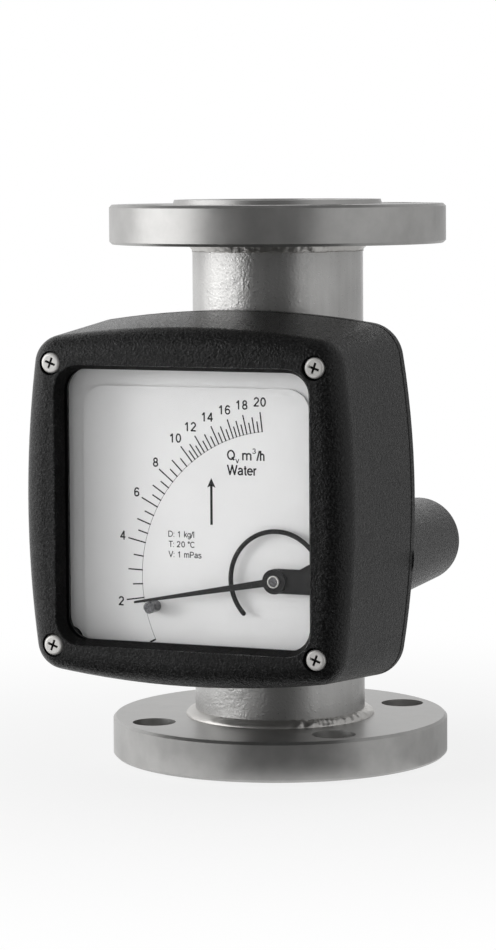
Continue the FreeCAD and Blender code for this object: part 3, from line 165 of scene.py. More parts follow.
class StudioSettings(bpy.types.PropertyGroup):
    """Camera, lamps, cards and floor."""

    azimuth: degrees("Azimuth", "Camera's turn to the right of the front", 22.586)
    tilt: degrees("Tilt", "How far the camera looks down", 3.5)
    roll: degrees("Roll", "Camera's roll", -0.331)
    distance: length("Distance", "Camera's distance from the tube's axis", 1378.91)
    height: length("Height", "Camera's height over the floor", 261.47)
    focal_length: number("Focal length", "Lens for a 36 mm sensor, in millimetres", 117.15)
    shift_right: number("Shift right", "Lens shift, as a share of the sensor's width", -0.0319)
    shift_up: number("Shift up", "Lens shift, as a share of the sensor's width", -0.1184)
    key_power: number("Key power", "Power of the large soft box on the left", 17.5, subtype="POWER")
    accent_power: number(
        "Accent power", "Power of the small lamp beside the soft box", 8.0, subtype="POWER")
    room_light: number("Room light", "Even light from the whole room", 0.45, min=0)
    front_card: number("Front card", "Brightness of the dark cards round the camera", 0.09, min=0)
    side_card: number("Side card", "Brightness of the grey card on the right", 0.68, min=0)
    far_card: number(
        "Far card", "Brightness of the grey card on the right, towards the back", 0.56, min=0)
    floor_card: number("Floor card", "Brightness of the card on the floor at the right", 0.5, min=0)
    top_card: number("Top card", "Brightness of the dark card overhead", 0.15, min=0)
    floor: colour("Floor", "Pale studio floor", (0.9, 0.9, 0.9))


# -------- shader maths
# Sockets of a Mix node that mixes colours.
MIX_SHARE, MIX_FROM, MIX_TO, MIX_RESULT = 0, 6, 7, 2
# Noise seldom leaves this range.
NOISE_LOW, NOISE_HIGH = 0.3, 0.7


class Signal:
    """One output of a node tree. Sums and products of signals add Math nodes."""

    def __init__(self, tree, socket):
        self.tree = tree
        self.socket = socket

    def joined(self, operation, first, second):
        """Math node on two values, each a signal or a number."""
        return self.tree.add("ShaderNodeMath", {"operation": operation}, {0: first, 1: second})

    def __add__(self, other):
        return self.joined("ADD", self, other)

    def __radd__(self, other):
        return self.joined("ADD", other, self)

    def __sub__(self, other):
        return self.joined("SUBTRACT", self, other)

    def __rsub__(self, other):
        return self.joined("SUBTRACT", other, self)

    def __mul__(self, other):
        return self.joined("MULTIPLY", self, other)

    def __rmul__(self, other):
        return self.joined("MULTIPLY", other, self)

    def __gt__(self, other):
        return self.joined("GREATER_THAN", self, other)

    def __lt__(self, other):
        return self.joined("LESS_THAN", self, other)


class ShaderTree:
    """The emptied node tree of a material or a world, and the means to add nodes to it."""

    def __init__(self, owner):
        owner.use_nodes = True
        self.owner = owner
        self.nodes = owner.node_tree.nodes
        self.links = owner.node_tree.links
        self.nodes.clear()

    def add(self, kind, settings=None, inputs=None, output=0):
        """New node with its settings first, then its sockets' values or links."""
        node = self.nodes.new(kind)
        for key, value in (settings or {}).items():
            setattr(node, key, value)
        for key, value in (inputs or {}).items():
            if isinstance(value, Signal):
                self.links.new(value.socket, node.inputs[key])
            else:
                node.inputs[key].default_value = value
        return Signal(self, node.outputs[output]) if node.outputs else None

    def close(self, shader, kind="ShaderNodeOutputMaterial"):
        """Links the last shader to the output and gives the material or world."""
        self.add(kind, {}, {"Surface": shader})
        return self.owner


class Finish(ShaderTree):
    """A new material, with the place on the piece and the steps that the finishes share."""

    def __init__(self, name):
        super().__init__(bpy.data.materials.new(name))
        self.place = self.add("ShaderNodeTexCoord", output="Object")

    def parts(self):
        """The three parts of the place on the piece, in metres."""
        whole = self.add("ShaderNodeSeparateXYZ", {}, {0: self.place})
        return [Signal(self, part) for part in whole.socket.node.outputs]

    def flat(self, first, second):
        """Vector with two given parts and a third of zero."""
        return self.add("ShaderNodeCombineXYZ", {}, {0: first, 1: second})

    def length(self, vector):
        """Length of a vector."""
        return self.add(
            "ShaderNodeVectorMath", {"operation": "LENGTH"}, {0: vector}, output="Value")

    def noise(self, feature, detail=2.0, roughness=0.5, distortion=0.0, place=None):
        """Cloudy noise whose lumps are about one feature wide."""
        return self.add(
            "ShaderNodeTexNoise", {},
            {"Vector": place or self.place, "Scale": 1 / feature, "Detail": detail,
             "Roughness": roughness, "Distortion": distortion})

    def spread(self, value, low, high, first=0.0, last=1.0):
        """The value's range from low to high stretched to run from first to last."""
        return self.add(
            "ShaderNodeMapRange", {},
            {"Value": value, "From Min": low, "From Max": high, "To Min": first, "To Max": last})

    def evened(self, value, first=0.0, last=1.0):
        """Noise stretched to run from first to last."""
        return self.spread(value, NOISE_LOW, NOISE_HIGH, first, last)

    def within(self, value, low, high, margin):
        """1 where the value lies between low and high, both moved out by the margin."""
        return self.add(
            "ShaderNodeMath", {"operation": "COMPARE"},
            {0: value, 1: (low + high) / 2, 2: (high - low) / 2 + margin})

    def folded(self, value, width):
        """The value folded to and fro between 0 and a width."""
        return self.add("ShaderNodeMath", {"operation": "PINGPONG"}, {0: value, 1: width})

    def tinted(self, base, other, share):
        """Colour that runs from base to other by share."""
        return self.add(
            "ShaderNodeMix", {"data_type": "RGBA"},
            {MIX_SHARE: share, MIX_FROM: (*base, 1), MIX_TO: (*other, 1)}, MIX_RESULT)

    def mottled(self, base, dark, light, share):
        """Colour that runs from a darker to a lighter shade of the base by share."""
        return self.tinted(shade(base, dark), shade(base, light), share)

    def bumped(self, height, depth, strength=1.0):
        """Surface normal with a relief of the given depth."""
        return self.add(
            "ShaderNodeBump", {}, {"Strength": strength, "Distance": depth, "Height": height})

    def surface(self, **sockets):
        """Closes the tree with a Principled shader; sockets are named with underscores."""
        named = {key.replace("_", " "): value for key, value in sockets.items()}
        return self.close(self.add("ShaderNodeBsdfPrincipled", {}, named))


def shade(base, factor):
    """A colour made darker or lighter."""
    return tuple(min(1.0, part * factor) for part in base)


# -------- finishes
STEEL_METALLIC = 0.86
SCREW_METALLIC = 0.45
DRAWN_OUT = (1, 1, 0.06)  # scale of noise that runs in streaks along the tube

# The serrated ring on the flanges' sealing faces.
SEALING_INNER = 26.5 * MM
SEALING_OUTER = 45.8 * MM
SEALING_DEPTH = 0.4 * MM
HALF_GROOVE = 0.4 * MM

# How deep the window's lip is, and how far it stands round the glass.
LIP_DEPTH = 5.6 * MM
LIP_MARGIN = 1.5 * MM

# Where a cover screw's cross lies, inwards from the sides and fronts of the screws.
CROSS_START = 2.0 * MM
CROSS_END = 6.2 * MM
CROSS_TOP = 0.12 * MM
# Near-black colour of the painted shade down in the screws' crosses.
DIRT = (0.008, 0.008, 0.008)


def flange_steel(settings):
    """Satin pickled steel with fine turning lines and serrated sealing faces."""
    finish = Finish("flange_steel")
    x, y, z = finish.parts()
    radius = finish.length(finish.flat(x, y))
    lathe = finish.noise(0.5 * MM, detail=3, roughness=0.65, place=finish.flat(radius, z))
    cloud = finish.noise(16 * MM, detail=4, roughness=0.6)
    grain = finish.noise(0.45 * MM)
    end_gap = finish.folded(z, METER_HEIGHT / 2)
    ring = (radius > SEALING_INNER) * (radius < SEALING_OUTER)
    serration = finish.folded(radius, HALF_GROOVE) * (1 / HALF_GROOVE)
    sealing = ring * (end_gap < SEALING_DEPTH)
    relief = lathe * 0.35 + grain * 0.3 + serration * sealing * 0.25
    return finish.surface(
        Base_Color=finish.mottled(settings.flange, 0.88, 1.12, finish.evened(cloud)),
        Metallic=STEEL_METALLIC,
        Roughness=finish.spread(cloud, 0.25, 0.75, 0.31, 0.39) + lathe * 0.05,
        Normal=finish.bumped(relief, 0.03 * MM, 0.6))


def blasted_steel(settings):
    """Pipe steel, drawn in faint streaks, with a pebbled blast that fades towards the right."""
    finish = Finish("blasted_steel")
    x = finish.parts()[0]
    drawn = finish.add("ShaderNodeMapping", {}, {"Vector": finish.place, "Scale": DRAWN_OUT})
    streaks = finish.noise(4 * MM, detail=3, roughness=0.6, place=drawn)
    pebbles = finish.noise(1.2 * MM, detail=3, distortion=0.3)
    coarse = finish.noise(4.5 * MM)
    cloud = finish.noise(22 * MM, detail=3)
    blasted = finish.spread(x, 26 * MM, 0, 0.3, 1.0)
    relief = (pebbles + coarse * 0.7) * blasted + streaks * 0.3
    tone = finish.spread(cloud * 0.6 + streaks * 0.4, 0.35, 0.65)
    return finish.surface(
        Base_Color=finish.mottled(settings.tube, 0.9, 1.1, tone),
        Metallic=STEEL_METALLIC,
        Roughness=finish.evened(pebbles, 0.36, 0.27),
        Normal=finish.bumped(relief, 0.2 * MM))


def weld_steel(settings):
    """Weld metal, brushed bright on its ripples and duller between them."""
    finish = Finish("weld_steel")
    cloud = finish.noise(5 * MM, detail=4, roughness=0.65)
    grain = finish.noise(0.7 * MM, detail=3)
    return finish.surface(
        Base_Color=finish.mottled(settings.weld, 0.72, 1.12, finish.evened(cloud)),
        Metallic=STEEL_METALLIC,
        Roughness=finish.evened(grain, 0.28, 0.42),
        Normal=finish.bumped(cloud + grain * 0.7, 0.09 * MM))


def turned_steel(name, base, rough, feature=0.35 * MM, metallic=1.0):
    """Fine machined or plated metal with a faint grain."""
    finish = Finish(name)
    grain = finish.noise(feature, detail=3, roughness=0.6)
    cloud = finish.noise(6 * MM)
    return finish.surface(
        Base_Color=finish.mottled(base, 0.88, 1.08, finish.evened(cloud)),
        Metallic=metallic,
        Roughness=finish.evened(grain, rough - 0.05, rough + 0.07),
        Normal=finish.bumped(grain, 0.012 * MM, 0.7))


def wrinkle_paint(settings):
    """Black wrinkle paint: closed ridges, glossier on their tops and painted lighter there as a
    painted highlight, duller in the window's lip.
    """
    finish = Finish("wrinkle_paint")
    x, y, z = finish.parts()
    ridges = finish.noise(1.0 * MM, distortion=0.8)
    fine = finish.noise(0.5 * MM)
    cloud = finish.noise(30 * MM)
    low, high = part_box("window_glass")
    lip = ((y > low.y - LIP_DEPTH) * (y < low.y)
           * finish.within(x, low.x, high.x, LIP_MARGIN)
           * finish.within(z, low.z, high.z, LIP_MARGIN))
    # Painted highlight: the base colour runs from a fifth to four times the paint colour, lightest
    # on the ridge tops, with a little random tone from the cloud. The window's lip gets none of it.
    tone = finish.spread(ridges * 0.85 + cloud * 0.15, 0.46, 0.64)
    return finish.surface(
        Base_Color=finish.mottled(settings.paint, 0.2, 4, tone * (1 - lip)),
        Roughness=finish.evened(ridges, 0.36, 0.22) + lip * 0.5,
        Specular_IOR_Level=0.31,
        Normal=finish.bumped(ridges + fine * 0.3, 0.5 * MM))


def recessed_zinc(settings, screws):
    """Zinc-plated cover screws at the corners, with painted shade down in the driver's cross."""
    finish = Finish("recessed_zinc")
    x, y, z = finish.parts()
    low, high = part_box(screws)
    grain = finish.noise(0.5 * MM, detail=3)
    # Painted shade: the driver's cross, behind the screws' fronts, is coloured near black.
    dirt = y > low.y + CROSS_TOP
    for value, first, last in ((x, low.x, high.x), (z, low.z, high.z)):
        dirt *= finish.within(value, first, last, -CROSS_START)
        dirt *= 1 - finish.within(value, first, last, -CROSS_END)
    return finish.surface(
        Base_Color=finish.tinted(shade(settings.plated, 1.05), DIRT, dirt),
        Metallic=SCREW_METALLIC,
        Roughness=finish.evened(grain, 0.34, 0.44),
        Normal=finish.bumped(grain, 0.015 * MM))


def matt_black(name, base, rough, feature, depth, gloss):
    """Matt black moulding, seal or enamel with a fine grain."""
    finish = Finish(name)
    grain = finish.noise(feature, detail=3, roughness=0.6)
    return finish.surface(
        Base_Color=finish.mottled(base, 0.8, 1.25, finish.evened(grain)),
        Roughness=finish.evened(grain, rough - 0.05, rough + 0.06),
        Specular_IOR_Level=gloss,
        Normal=finish.bumped(grain, depth, 0.8))


def dial_paint(settings):
    """White enamel on sheet metal, with the faintest ripple in its gloss."""
    finish = Finish("dial_paint")
    cloud = finish.noise(18 * MM)
    ripple = finish.noise(2.4 * MM)
    return finish.surface(
        Base_Color=finish.mottled(settings.dial, 0.985, 1.01, finish.evened(cloud)),
        Roughness=finish.evened(ripple, 0.42, 0.5),
        Normal=finish.bumped(ripple, 0.01 * MM, 0.5))


def dial_ink(settings):
    """Dark screen-printed ink, slightly uneven."""
    finish = Finish("dial_ink")
    mottle = finish.noise(0.8 * MM, detail=3)
    return finish.surface(
        Base_Color=finish.mottled(settings.ink, 0.8, 1.3, finish.evened(mottle)),
        Roughness=finish.evened(mottle, 0.55, 0.65),
        Specular_IOR_Level=0.12)


def window_glass():
    """Clear pane that bends light for the eye and lets the lamps straight through."""
    finish = Finish("window_glass")
    waviness = finish.noise(30 * MM, detail=1)
    pane = finish.add("ShaderNodeBsdfPrincipled", {}, {
        "Base Color": (0.99, 0.99, 0.99, 1),
        "Roughness": 0.0,
        "IOR": 1.3,
        "Transmission Weight": 1.0,
        "Normal": finish.bumped(waviness, 0.004 * MM, 0.2)})
    open_way = finish.add("ShaderNodeBsdfTransparent", {}, {"Color": (0.95, 0.95, 0.95, 1)})
    ray = finish.add("ShaderNodeLightPath", output="Is Shadow Ray")
    return finish.close(finish.add("ShaderNodeMixShader", {}, {0: ray, 1: pane, 2: open_way}))


def put_on(material, *nodes):
    """Gives CAD nodes their finish."""
    for name in nodes:
        mesh = NODES[name].data
        if not mesh.materials:
            mesh.materials.append(material)
        for index in range(len(mesh.materials)):
            mesh.materials[index] = material


# -------- piece making
def in_scene(name, data):
    """Object that holds a mesh, a lamp or a camera, linked to the scene."""
    holder = bpy.data.objects.new(name, data)
    bpy.context.scene.collection.objects.link(holder)
    return holder


def meshed(bm, name, material):
    """Turns a bmesh into an object with its finish."""
    mesh = bpy.data.meshes.new(name)
    bm.to_mesh(mesh)
    bm.free()
    mesh.materials.append(material)
    return in_scene(name, mesh)


def piece_from(bm, name, material, smooth_angle=None):
    """Turns a bmesh into a finished piece on the fixed body."""
    bmesh.ops.remove_doubles(bm, verts=bm.verts, dist=MERGE_DISTANCE)
    bmesh.ops.recalc_face_normals(bm, faces=bm.faces)
    piece = meshed(bm, name, material)
    if smooth_angle is not None:
        piece.data.shade_smooth()
        piece.data.set_sharp_from_angle(angle=math.radians(smooth_angle))
    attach(piece, FIXED_BODY)
    return piece


def on_dial(settings):
    """Matrix from print coordinates (right, up, out) to the dial's front, at the scale's centre."""
    centre = Vector((SHAFT_CENTRE.x + settings.centre_aside, DIAL_FACE_Y,
                     SHAFT_CENTRE.z - settings.centre_drop))
    turn = Matrix((RIGHT, UP, TOWARDS_FRONT)).transposed()
    return Matrix.Translation(centre) @ turn.to_4x4()


def printed(bm, name, dial):
    """Turns a bmesh in print coordinates into a piece of the dial's print."""
    bm.transform(on_dial(dial))
    piece_from(bm, name, bpy.data.materials["dial_ink"])


def raised(bm, faces):
    """Lifts flat print off the plate by its ink's thickness."""
    made = bmesh.ops.extrude_face_region(bm, geom=faces)
    lifted = [part for part in made["geom"] if isinstance(part, bmesh.types.BMVert)]
    bmesh.ops.translate(bm, verts=lifted, vec=UP * INK_THICKNESS)


def flat_shape(bm, corners):
    """One flat face through the given corners of the print plane."""
    return bm.faces.new([bm.verts.new((u, v, 0)) for u, v in corners])


def radial(angle, radius, aside=0.0):
    """Print-plane point at an angle over the horizontal left, moved aside along the circle."""
    along = Vector((-math.cos(angle), math.sin(angle)))
    across = Vector((math.sin(angle), math.cos(angle)))
    return along * radius + across * aside


# -------- printed scale
# Angle over the horizontal left, in degrees, at each number.
SCALE_ANGLES = {0: -25.35, 2: -8.6, 4: 12.85, 6: 27.8, 8: 39.7, 10: 51.1, 12: 57.5, 14: 64.4,
                16: 70.9, 18: 76.8, 20: 83.2}
# Angle and radius, in millimetres, where each number stands.
NUMERAL_PLACES = {2: (-8.8, 74.0), 4: (13.2, 74.0), 6: (28.5, 74.5), 8: (40.6, 74.5),
                  10: (51.3, 75.6), 12: (57.8, 75.6), 14: (64.6, 75.6), 16: (71.0, 75.6),
                  18: (77.2, 75.6), 20: (83.5, 75.6)}
NUMBER_STEP = 2
FIRST_MARK = 2
LAST_MARK = 20
ZERO_MARK_END = 66.1 * MM
ZERO_MARK_WEIGHT = 1.3
ARC_STEPS = 72


def scale_angle(value):
    """Angle of a reading, straight between the numbers on each side of it."""
    below = max(mark for mark in SCALE_ANGLES if mark <= value)
    if below == value:
        return math.radians(SCALE_ANGLES[below])
    above = below + NUMBER_STEP
    share = (value - below) / NUMBER_STEP
    return math.radians(
        SCALE_ANGLES[below] + share * (SCALE_ANGLES[above] - SCALE_ANGLES[below]))


def draw_tick(bm, angle, inner, outer, width):
    """One straight radial line."""
    half = width / 2
    flat_shape(bm, [radial(angle, inner, -half), radial(angle, inner, half),
                    radial(angle, outer, half), radial(angle, outer, -half)])


def draw_arc(bm, first, last, radius, width):
    """Hairline arc, spun from one short radial edge."""
    ends = [bm.verts.new((*radial(first, radius + side * width / 2), 0)) for side in (-1, 1)]
    edge = bm.edges.new(ends)
    bmesh.ops.spin(bm, geom=[*ends, edge], cent=(0, 0, 0), axis=(0, 0, -1),
                   angle=last - first, steps=ARC_STEPS, use_merge=False, use_duplicate=False)


class ROTAMETER_OT_dial_scale(bpy.types.Operator):
    """Print the ticks and the hairline arc on the dial"""

    bl_idname = "rotameter.dial_scale"
    bl_label = "Dial Scale"

    def execute(self, context):
        dial = context.scene.rotameter_dial
        bm = bmesh.new()
        for half_step in range(2 * FIRST_MARK, 2 * LAST_MARK + 1):
            value = half_step / 2
            outer = dial.short_radius
            if value % 1 == 0:
                outer = dial.medium_radius
            if value % NUMBER_STEP == 0:
                outer = dial.long_radius
            draw_tick(bm, scale_angle(value), dial.inner_radius, outer, dial.tick_width)
        draw_tick(bm, scale_angle(0), dial.arc_radius, ZERO_MARK_END,
                  ZERO_MARK_WEIGHT * dial.tick_width)
        draw_arc(bm, scale_angle(0), scale_angle(LAST_MARK), dial.arc_radius, dial.arc_width)
        raised(bm, list(bm.faces))
        printed(bm, "dial_scale", dial)
        return {"FINISHED"}


# -------- lettering
STROKE_WEIGHT = 0.165  # a stroke's width, as a share of its capitals' height
STROKE_STEP = 18  # degrees of a curved stroke from one point to the next
SHARP_CORNER = 0.8  # cosine of the turn past which a stroke is cut at its corner
CORNER_OVERLAP = 0.3  # how far both parts pass the corner, as a share of their width


def arc(cx, cy, rx, ry, first, last):
    """Points along an upright ellipse between two angles in degrees."""
    count = max(4, round(abs(last - first) / STROKE_STEP))
    turns = [math.radians(first + (last - first) * step / count) for step in range(count + 1)]
    return [(cx + rx * math.cos(turn), cy + ry * math.sin(turn)) for turn in turns]


# A plain sans-serif hand: for each character its advance and its strokes' centre lines,
# on capitals one unit tall.
GLYPHS = {
    "0": (0.78, [arc(0.36, 0.5, 0.25, 0.435, 90, 450)]),
    "1": (0.78, [[(0.17, 0.7), (0.3, 0.79), (0.42, 0.94)], [(0.42, 0.98), (0.42, 0)]]),
    "2": (0.78, [arc(0.36, 0.69, 0.235, 0.245, 172, -28) + [(0.1, 0.065), (0.62, 0.065)]]),
    "3": (0.78, [arc(0.35, 0.715, 0.2, 0.22, 165, -85), arc(0.35, 0.285, 0.245, 0.22, 88, -165)]),
    "4": (0.78, [[(0.47, 0), (0.47, 0.92), (0.08, 0.29), (0.65, 0.29)]]),
    "6": (0.78, [arc(0.365, 0.31, 0.235, 0.245, 0, 360), arc(0.39, 0.5, 0.27, 0.435, 38, 200)]),
    "8": (0.78, [arc(0.36, 0.72, 0.195, 0.215, 0, 360), arc(0.36, 0.285, 0.24, 0.22, 0, 360)]),
    "Q": (0.97, [arc(0.47, 0.5, 0.39, 0.435, 0, 360), [(0.56, 0.27), (0.85, -0.02)]]),
    "v": (0.56, [[(0.04, 0.72), (0.27, 0.03), (0.5, 0.72)]]),
    "m": (0.94, [[(0.09, 0.72), (0.09, 0)], arc(0.27, 0.47, 0.18, 0.2, 180, 0) + [(0.45, 0)],
                 arc(0.63, 0.47, 0.18, 0.2, 180, 0) + [(0.81, 0)]]),
    "/": (0.36, [[(0, -0.02), (0.31, 1.0)]]),
    "h": (0.6, [[(0.09, 1), (0.09, 0)], arc(0.28, 0.47, 0.19, 0.2, 180, 0) + [(0.47, 0)]]),
    "W": (1.1, [[(0.03, 1), (0.29, 0.03), (0.53, 0.96), (0.77, 0.03), (1.03, 1)]]),
    "a": (0.64, [arc(0.3, 0.48, 0.2, 0.2, 160, 0) + [(0.5, 0.12), (0.54, 0.02)],
                 [(0.5, 0.42), (0.22, 0.37), (0.09, 0.28), (0.08, 0.15), (0.17, 0.06),
                  (0.32, 0.06), (0.45, 0.13), (0.5, 0.24)]]),
    "t": (0.36, [[(0.17, 0.92), (0.17, 0.15), (0.22, 0.06), (0.33, 0.05)],
                 [(0.03, 0.67), (0.32, 0.67)]]),
    "e": (0.66, [[(0.08, 0.38), (0.56, 0.38)] + arc(0.32, 0.36, 0.25, 0.3, 4, 322)]),
    "r": (0.4, [[(0.1, 0.72), (0.1, 0)], arc(0.28, 0.44, 0.18, 0.22, 180, 70)]),
    "D": (0.86, [[(0.38, 0.065), (0.11, 0.065), (0.11, 0.935), (0.38, 0.935)]
                 + arc(0.38, 0.5, 0.36, 0.435, 90, -90)]),
    ":": (0.24, [[(0.11, 0.01), (0.11, 0.13)], [(0.11, 0.57), (0.11, 0.69)]]),
    "k": (0.54, [[(0.09, 1), (0.09, 0)], [(0.48, 0.72), (0.11, 0.28)], [(0.23, 0.42), (0.5, 0)]]),
    "g": (0.64, [arc(0.3, 0.36, 0.21, 0.3, 0, 360), [(0.52, 0.72), (0.52, -0.05)]
                 + arc(0.3, -0.05, 0.22, 0.18, 0, -150)]),
    "l": (0.22, [[(0.1, 1), (0.1, 0)]]),
    "T": (0.76, [[(0.03, 0.935), (0.71, 0.935)], [(0.37, 0.935), (0.37, 0)]]),
    "°": (0.4, [arc(0.17, 0.83, 0.12, 0.12, 0, 360)]),
    "C": (0.9, [arc(0.45, 0.5, 0.37, 0.435, 42, 318)]),
    "V": (0.78, [[(0.03, 1), (0.37, 0.03), (0.71, 1)]]),
    "P": (0.78, [[(0.11, 0), (0.11, 0.935), (0.42, 0.935)] + arc(0.42, 0.7, 0.23, 0.235, 90, -90)
                 + [(0.11, 0.465)]]),
    "s": (0.56, [[(0.47, 0.56), (0.38, 0.65), (0.27, 0.67), (0.14, 0.63), (0.09, 0.53),
                  (0.17, 0.42), (0.36, 0.35), (0.48, 0.26), (0.48, 0.14), (0.4, 0.06),
                  (0.27, 0.03), (0.13, 0.07), (0.07, 0.19)]]),
    " ": (0.38, []),
}


def strokes_of(words):
    """Centre lines of a line of words, starting at 0, on capitals one unit tall."""
    place = 0.0
    lines = []
    for character in words:
        advance, strokes = GLYPHS[character]
        lines += [[(place + u, v) for u, v in stroke] for stroke in strokes]
        place += advance
    return lines


def unbent(line, overlap):
    """Cuts a stroke at its sharp corners; each part runs a little past the corner."""
    points = [Vector(point) for point in line]
    parts = [[points[0]]]
    for before, here, after in zip(points, points[1:], points[2:]):
        arriving = (here - before).normalized()
        leaving = (after - here).normalized()
        if arriving.dot(leaving) < SHARP_CORNER:
            parts[-1].append(here + arriving * overlap)
            parts.append([here - leaving * overlap])
        else:
            parts[-1].append(here)
    parts[-1].append(points[-1])
    return parts


def stroke_mesh(lines, line_width):
    """Mesh of strokes, pressed flat to the ink's thickness."""
    curve = bpy.data.curves.new("strokes", "CURVE")
    curve.dimensions = "3D"
    curve.bevel_depth = line_width / 2
    curve.bevel_resolution = 1
    curve.use_fill_caps = True
    overlap = line_width * CORNER_OVERLAP
    for line in [part for whole in lines for part in unbent(whole, overlap)]:
        spline = curve.splines.new("POLY")
        spline.points.add(len(line) - 1)
        for point, (u, v) in zip(spline.points, line):
            point.co = (u, v, 0, 1)
    holder = bpy.data.objects.new("strokes", curve)
    mesh = bpy.data.meshes.new_from_object(holder)
    bpy.data.objects.remove(holder)
    bpy.data.curves.remove(curve)
    mesh.transform(Matrix.Diagonal((1, 1, 2 * INK_THICKNESS / line_width, 1)))
    return mesh


def write(bm, words, height, left, baseline, right=None, centred=False, weight=STROKE_WEIGHT):
    """Sets words in the print plane; right stretches them to end there."""
    lines = strokes_of(words)
    across = [u for line in lines for u, _ in line]
    first, last = min(across), max(across)
    line_width = weight * height
    stretch = height
    if right is not None:
        stretch = (right - left - line_width) / (last - first)
    start = left + line_width / 2
    if centred:
        start = left - (last - first) * stretch / 2
    placed = [[(start + (u - first) * stretch, baseline + v * height) for u, v in line]
              for line in lines]
    mesh = stroke_mesh(placed, line_width)
    bm.from_mesh(mesh)
    bpy.data.meshes.remove(mesh)


class ROTAMETER_OT_dial_numerals(bpy.types.Operator):
    """Print the scale's numbers on the dial"""

    bl_idname = "rotameter.dial_numerals"
    bl_label = "Dial Numerals"

    def execute(self, context):
        dial = context.scene.rotameter_dial
        bm = bmesh.new()
        for value, (angle, radius) in NUMERAL_PLACES.items():
            middle = radial(math.radians(angle), radius * MM)
            write(bm, str(value), dial.numeral_height, middle.x,
                  middle.y - dial.numeral_height / 2, centred=True)
        printed(bm, "dial_numerals", dial)
        return {"FINISHED"}


# Each title's height as a share of the capitals', and its left end, baseline and right end in
# the print plane, in millimetres.
TITLES = (
    ("Q", 1.0, -23.6, 50.5, -19.9),
    ("v", 0.58, -19.8, 49.2, -18.0),
    ("m", 1.0, -16.7, 50.5, -12.4),
    ("3", 0.55, -12.1, 53.3, -10.4),
    ("/h", 1.0, -10.3, 50.5, -6.5),
    ("Water", 1.0, -23.7, 44.2, -9.9),
)
# The calibration lines, from the top down, with their right ends in millimetres.
NOTES = (("D: 1 kg/l", -38.9), ("T: 20 °C", -38.7), ("V: 1 mPas", -35.6))
NOTE_LEFT = -50.9 * MM
NOTE_WEIGHT = 0.15
# Corners of the flow arrow in the print plane, in millimetres.
FLOW_ARROW = ((-31.4, 22.8), (-30.3, 22.8), (-30.3, 39.1), (-28.9, 38.5), (-30.85, 42.6),
              (-32.8, 38.5), (-31.4, 39.1))


class ROTAMETER_OT_dial_words(bpy.types.Operator):
    """Print the quantity, the medium, the calibration lines and the flow arrow"""

    bl_idname = "rotameter.dial_words"
    bl_label = "Dial Words"

    def execute(self, context):
        dial = context.scene.rotameter_dial
        bm = bmesh.new()
        for words, share, left, baseline, right in TITLES:
            write(bm, words, share * dial.title_height, left * MM, baseline * MM, right * MM)
        for row, (words, right) in enumerate(NOTES):
            baseline = dial.note_top - row * dial.note_pitch
            write(bm, words, dial.note_height, NOTE_LEFT, baseline, right * MM,
                  weight=NOTE_WEIGHT)
        arrow = flat_shape(bm, [(u * MM, v * MM) for u, v in FLOW_ARROW])
        raised(bm, [arrow])
        printed(bm, "dial_words", dial)
        return {"FINISHED"}


# -------- weld beads
BEAD_ROOT = 0.4 * MM  # how deep the bead's back lies in the tube and the flange
BEAD_STEPS = 420
BEAD_SMOOTH_ANGLE = 70
HALF_ROOT_TWO = 0.7071
FACE_START = 14
FACE_SWEEP = 62
FACE_STEPS = 7

RIPPLE_BOW = 0.35  # how many ripples the bead's edges lag behind its middle
RIPPLE_DRIFT = 1.5  # how many ripples they drift out of step
LUMPS_PER_METRE = 330
TOE = 0.9  # share of the climb past which the bead ends raggedly on the tube


def bead_section(weld, reach, climb, hollow):
    """Section of the fillet: distances out from the tube and up from the flange."""
    turns = [math.radians(FACE_START + FACE_SWEEP * step / FACE_STEPS)
             for step in range(FACE_STEPS + 1)]
    face = [(reach * math.cos(turn) ** hollow, climb * math.sin(turn) ** hollow)
            for turn in turns]
    return [(-BEAD_ROOT, -BEAD_ROOT), (reach, -BEAD_ROOT), *face,
            (weld.undercut, climb), (-BEAD_ROOT, climb)]


def ring_noise(angle, scale, third):
    """Smooth noise round the tube, which changes more often at a larger scale."""
    return noise.noise(Vector((math.cos(angle) * scale, math.sin(angle) * scale, third)))


def roughen(vert, weld, reach, climb, coarseness):
    """Moves one point of the bead by its ripple, its lumps and the wander of the edge."""
    out = vert.co.xy.length - TUBE_RADIUS
    up = vert.co.z
    if out < 0 and up < 0:
        return
    angle = math.atan2(vert.co.y, vert.co.x)
    across = out / reach - up / climb
    coarse = coarseness(compass(angle))
    run = angle * TUBE_RADIUS / weld.ripple_pitch + RIPPLE_BOW * across * across
    run += RIPPLE_DRIFT * ring_noise(angle, 7, 3)
    ripple = abs(math.sin(math.pi * run)) - 0.6
    lump = noise.noise(vert.co * LUMPS_PER_METRE)
    lift = weld.ripple_height * coarse * (0.7 * ripple + 2.2 * lump)
    lift += weld.wander * (0.35 + 0.65 * coarse) * ring_noise(angle, 5, across)
    outwards = Vector((vert.co.x, vert.co.y, 0)).normalized()
    vert.co += (outwards + UP) * HALF_ROOT_TWO * lift * (1 - 0.5 * across * across)
    if up > TOE * climb:
        ragged = noise.noise(Vector((math.cos(angle), math.sin(angle), 0.2)) * 24)
        vert.co.z += weld.undercut * (1.2 * coarse + 0.3) * ragged


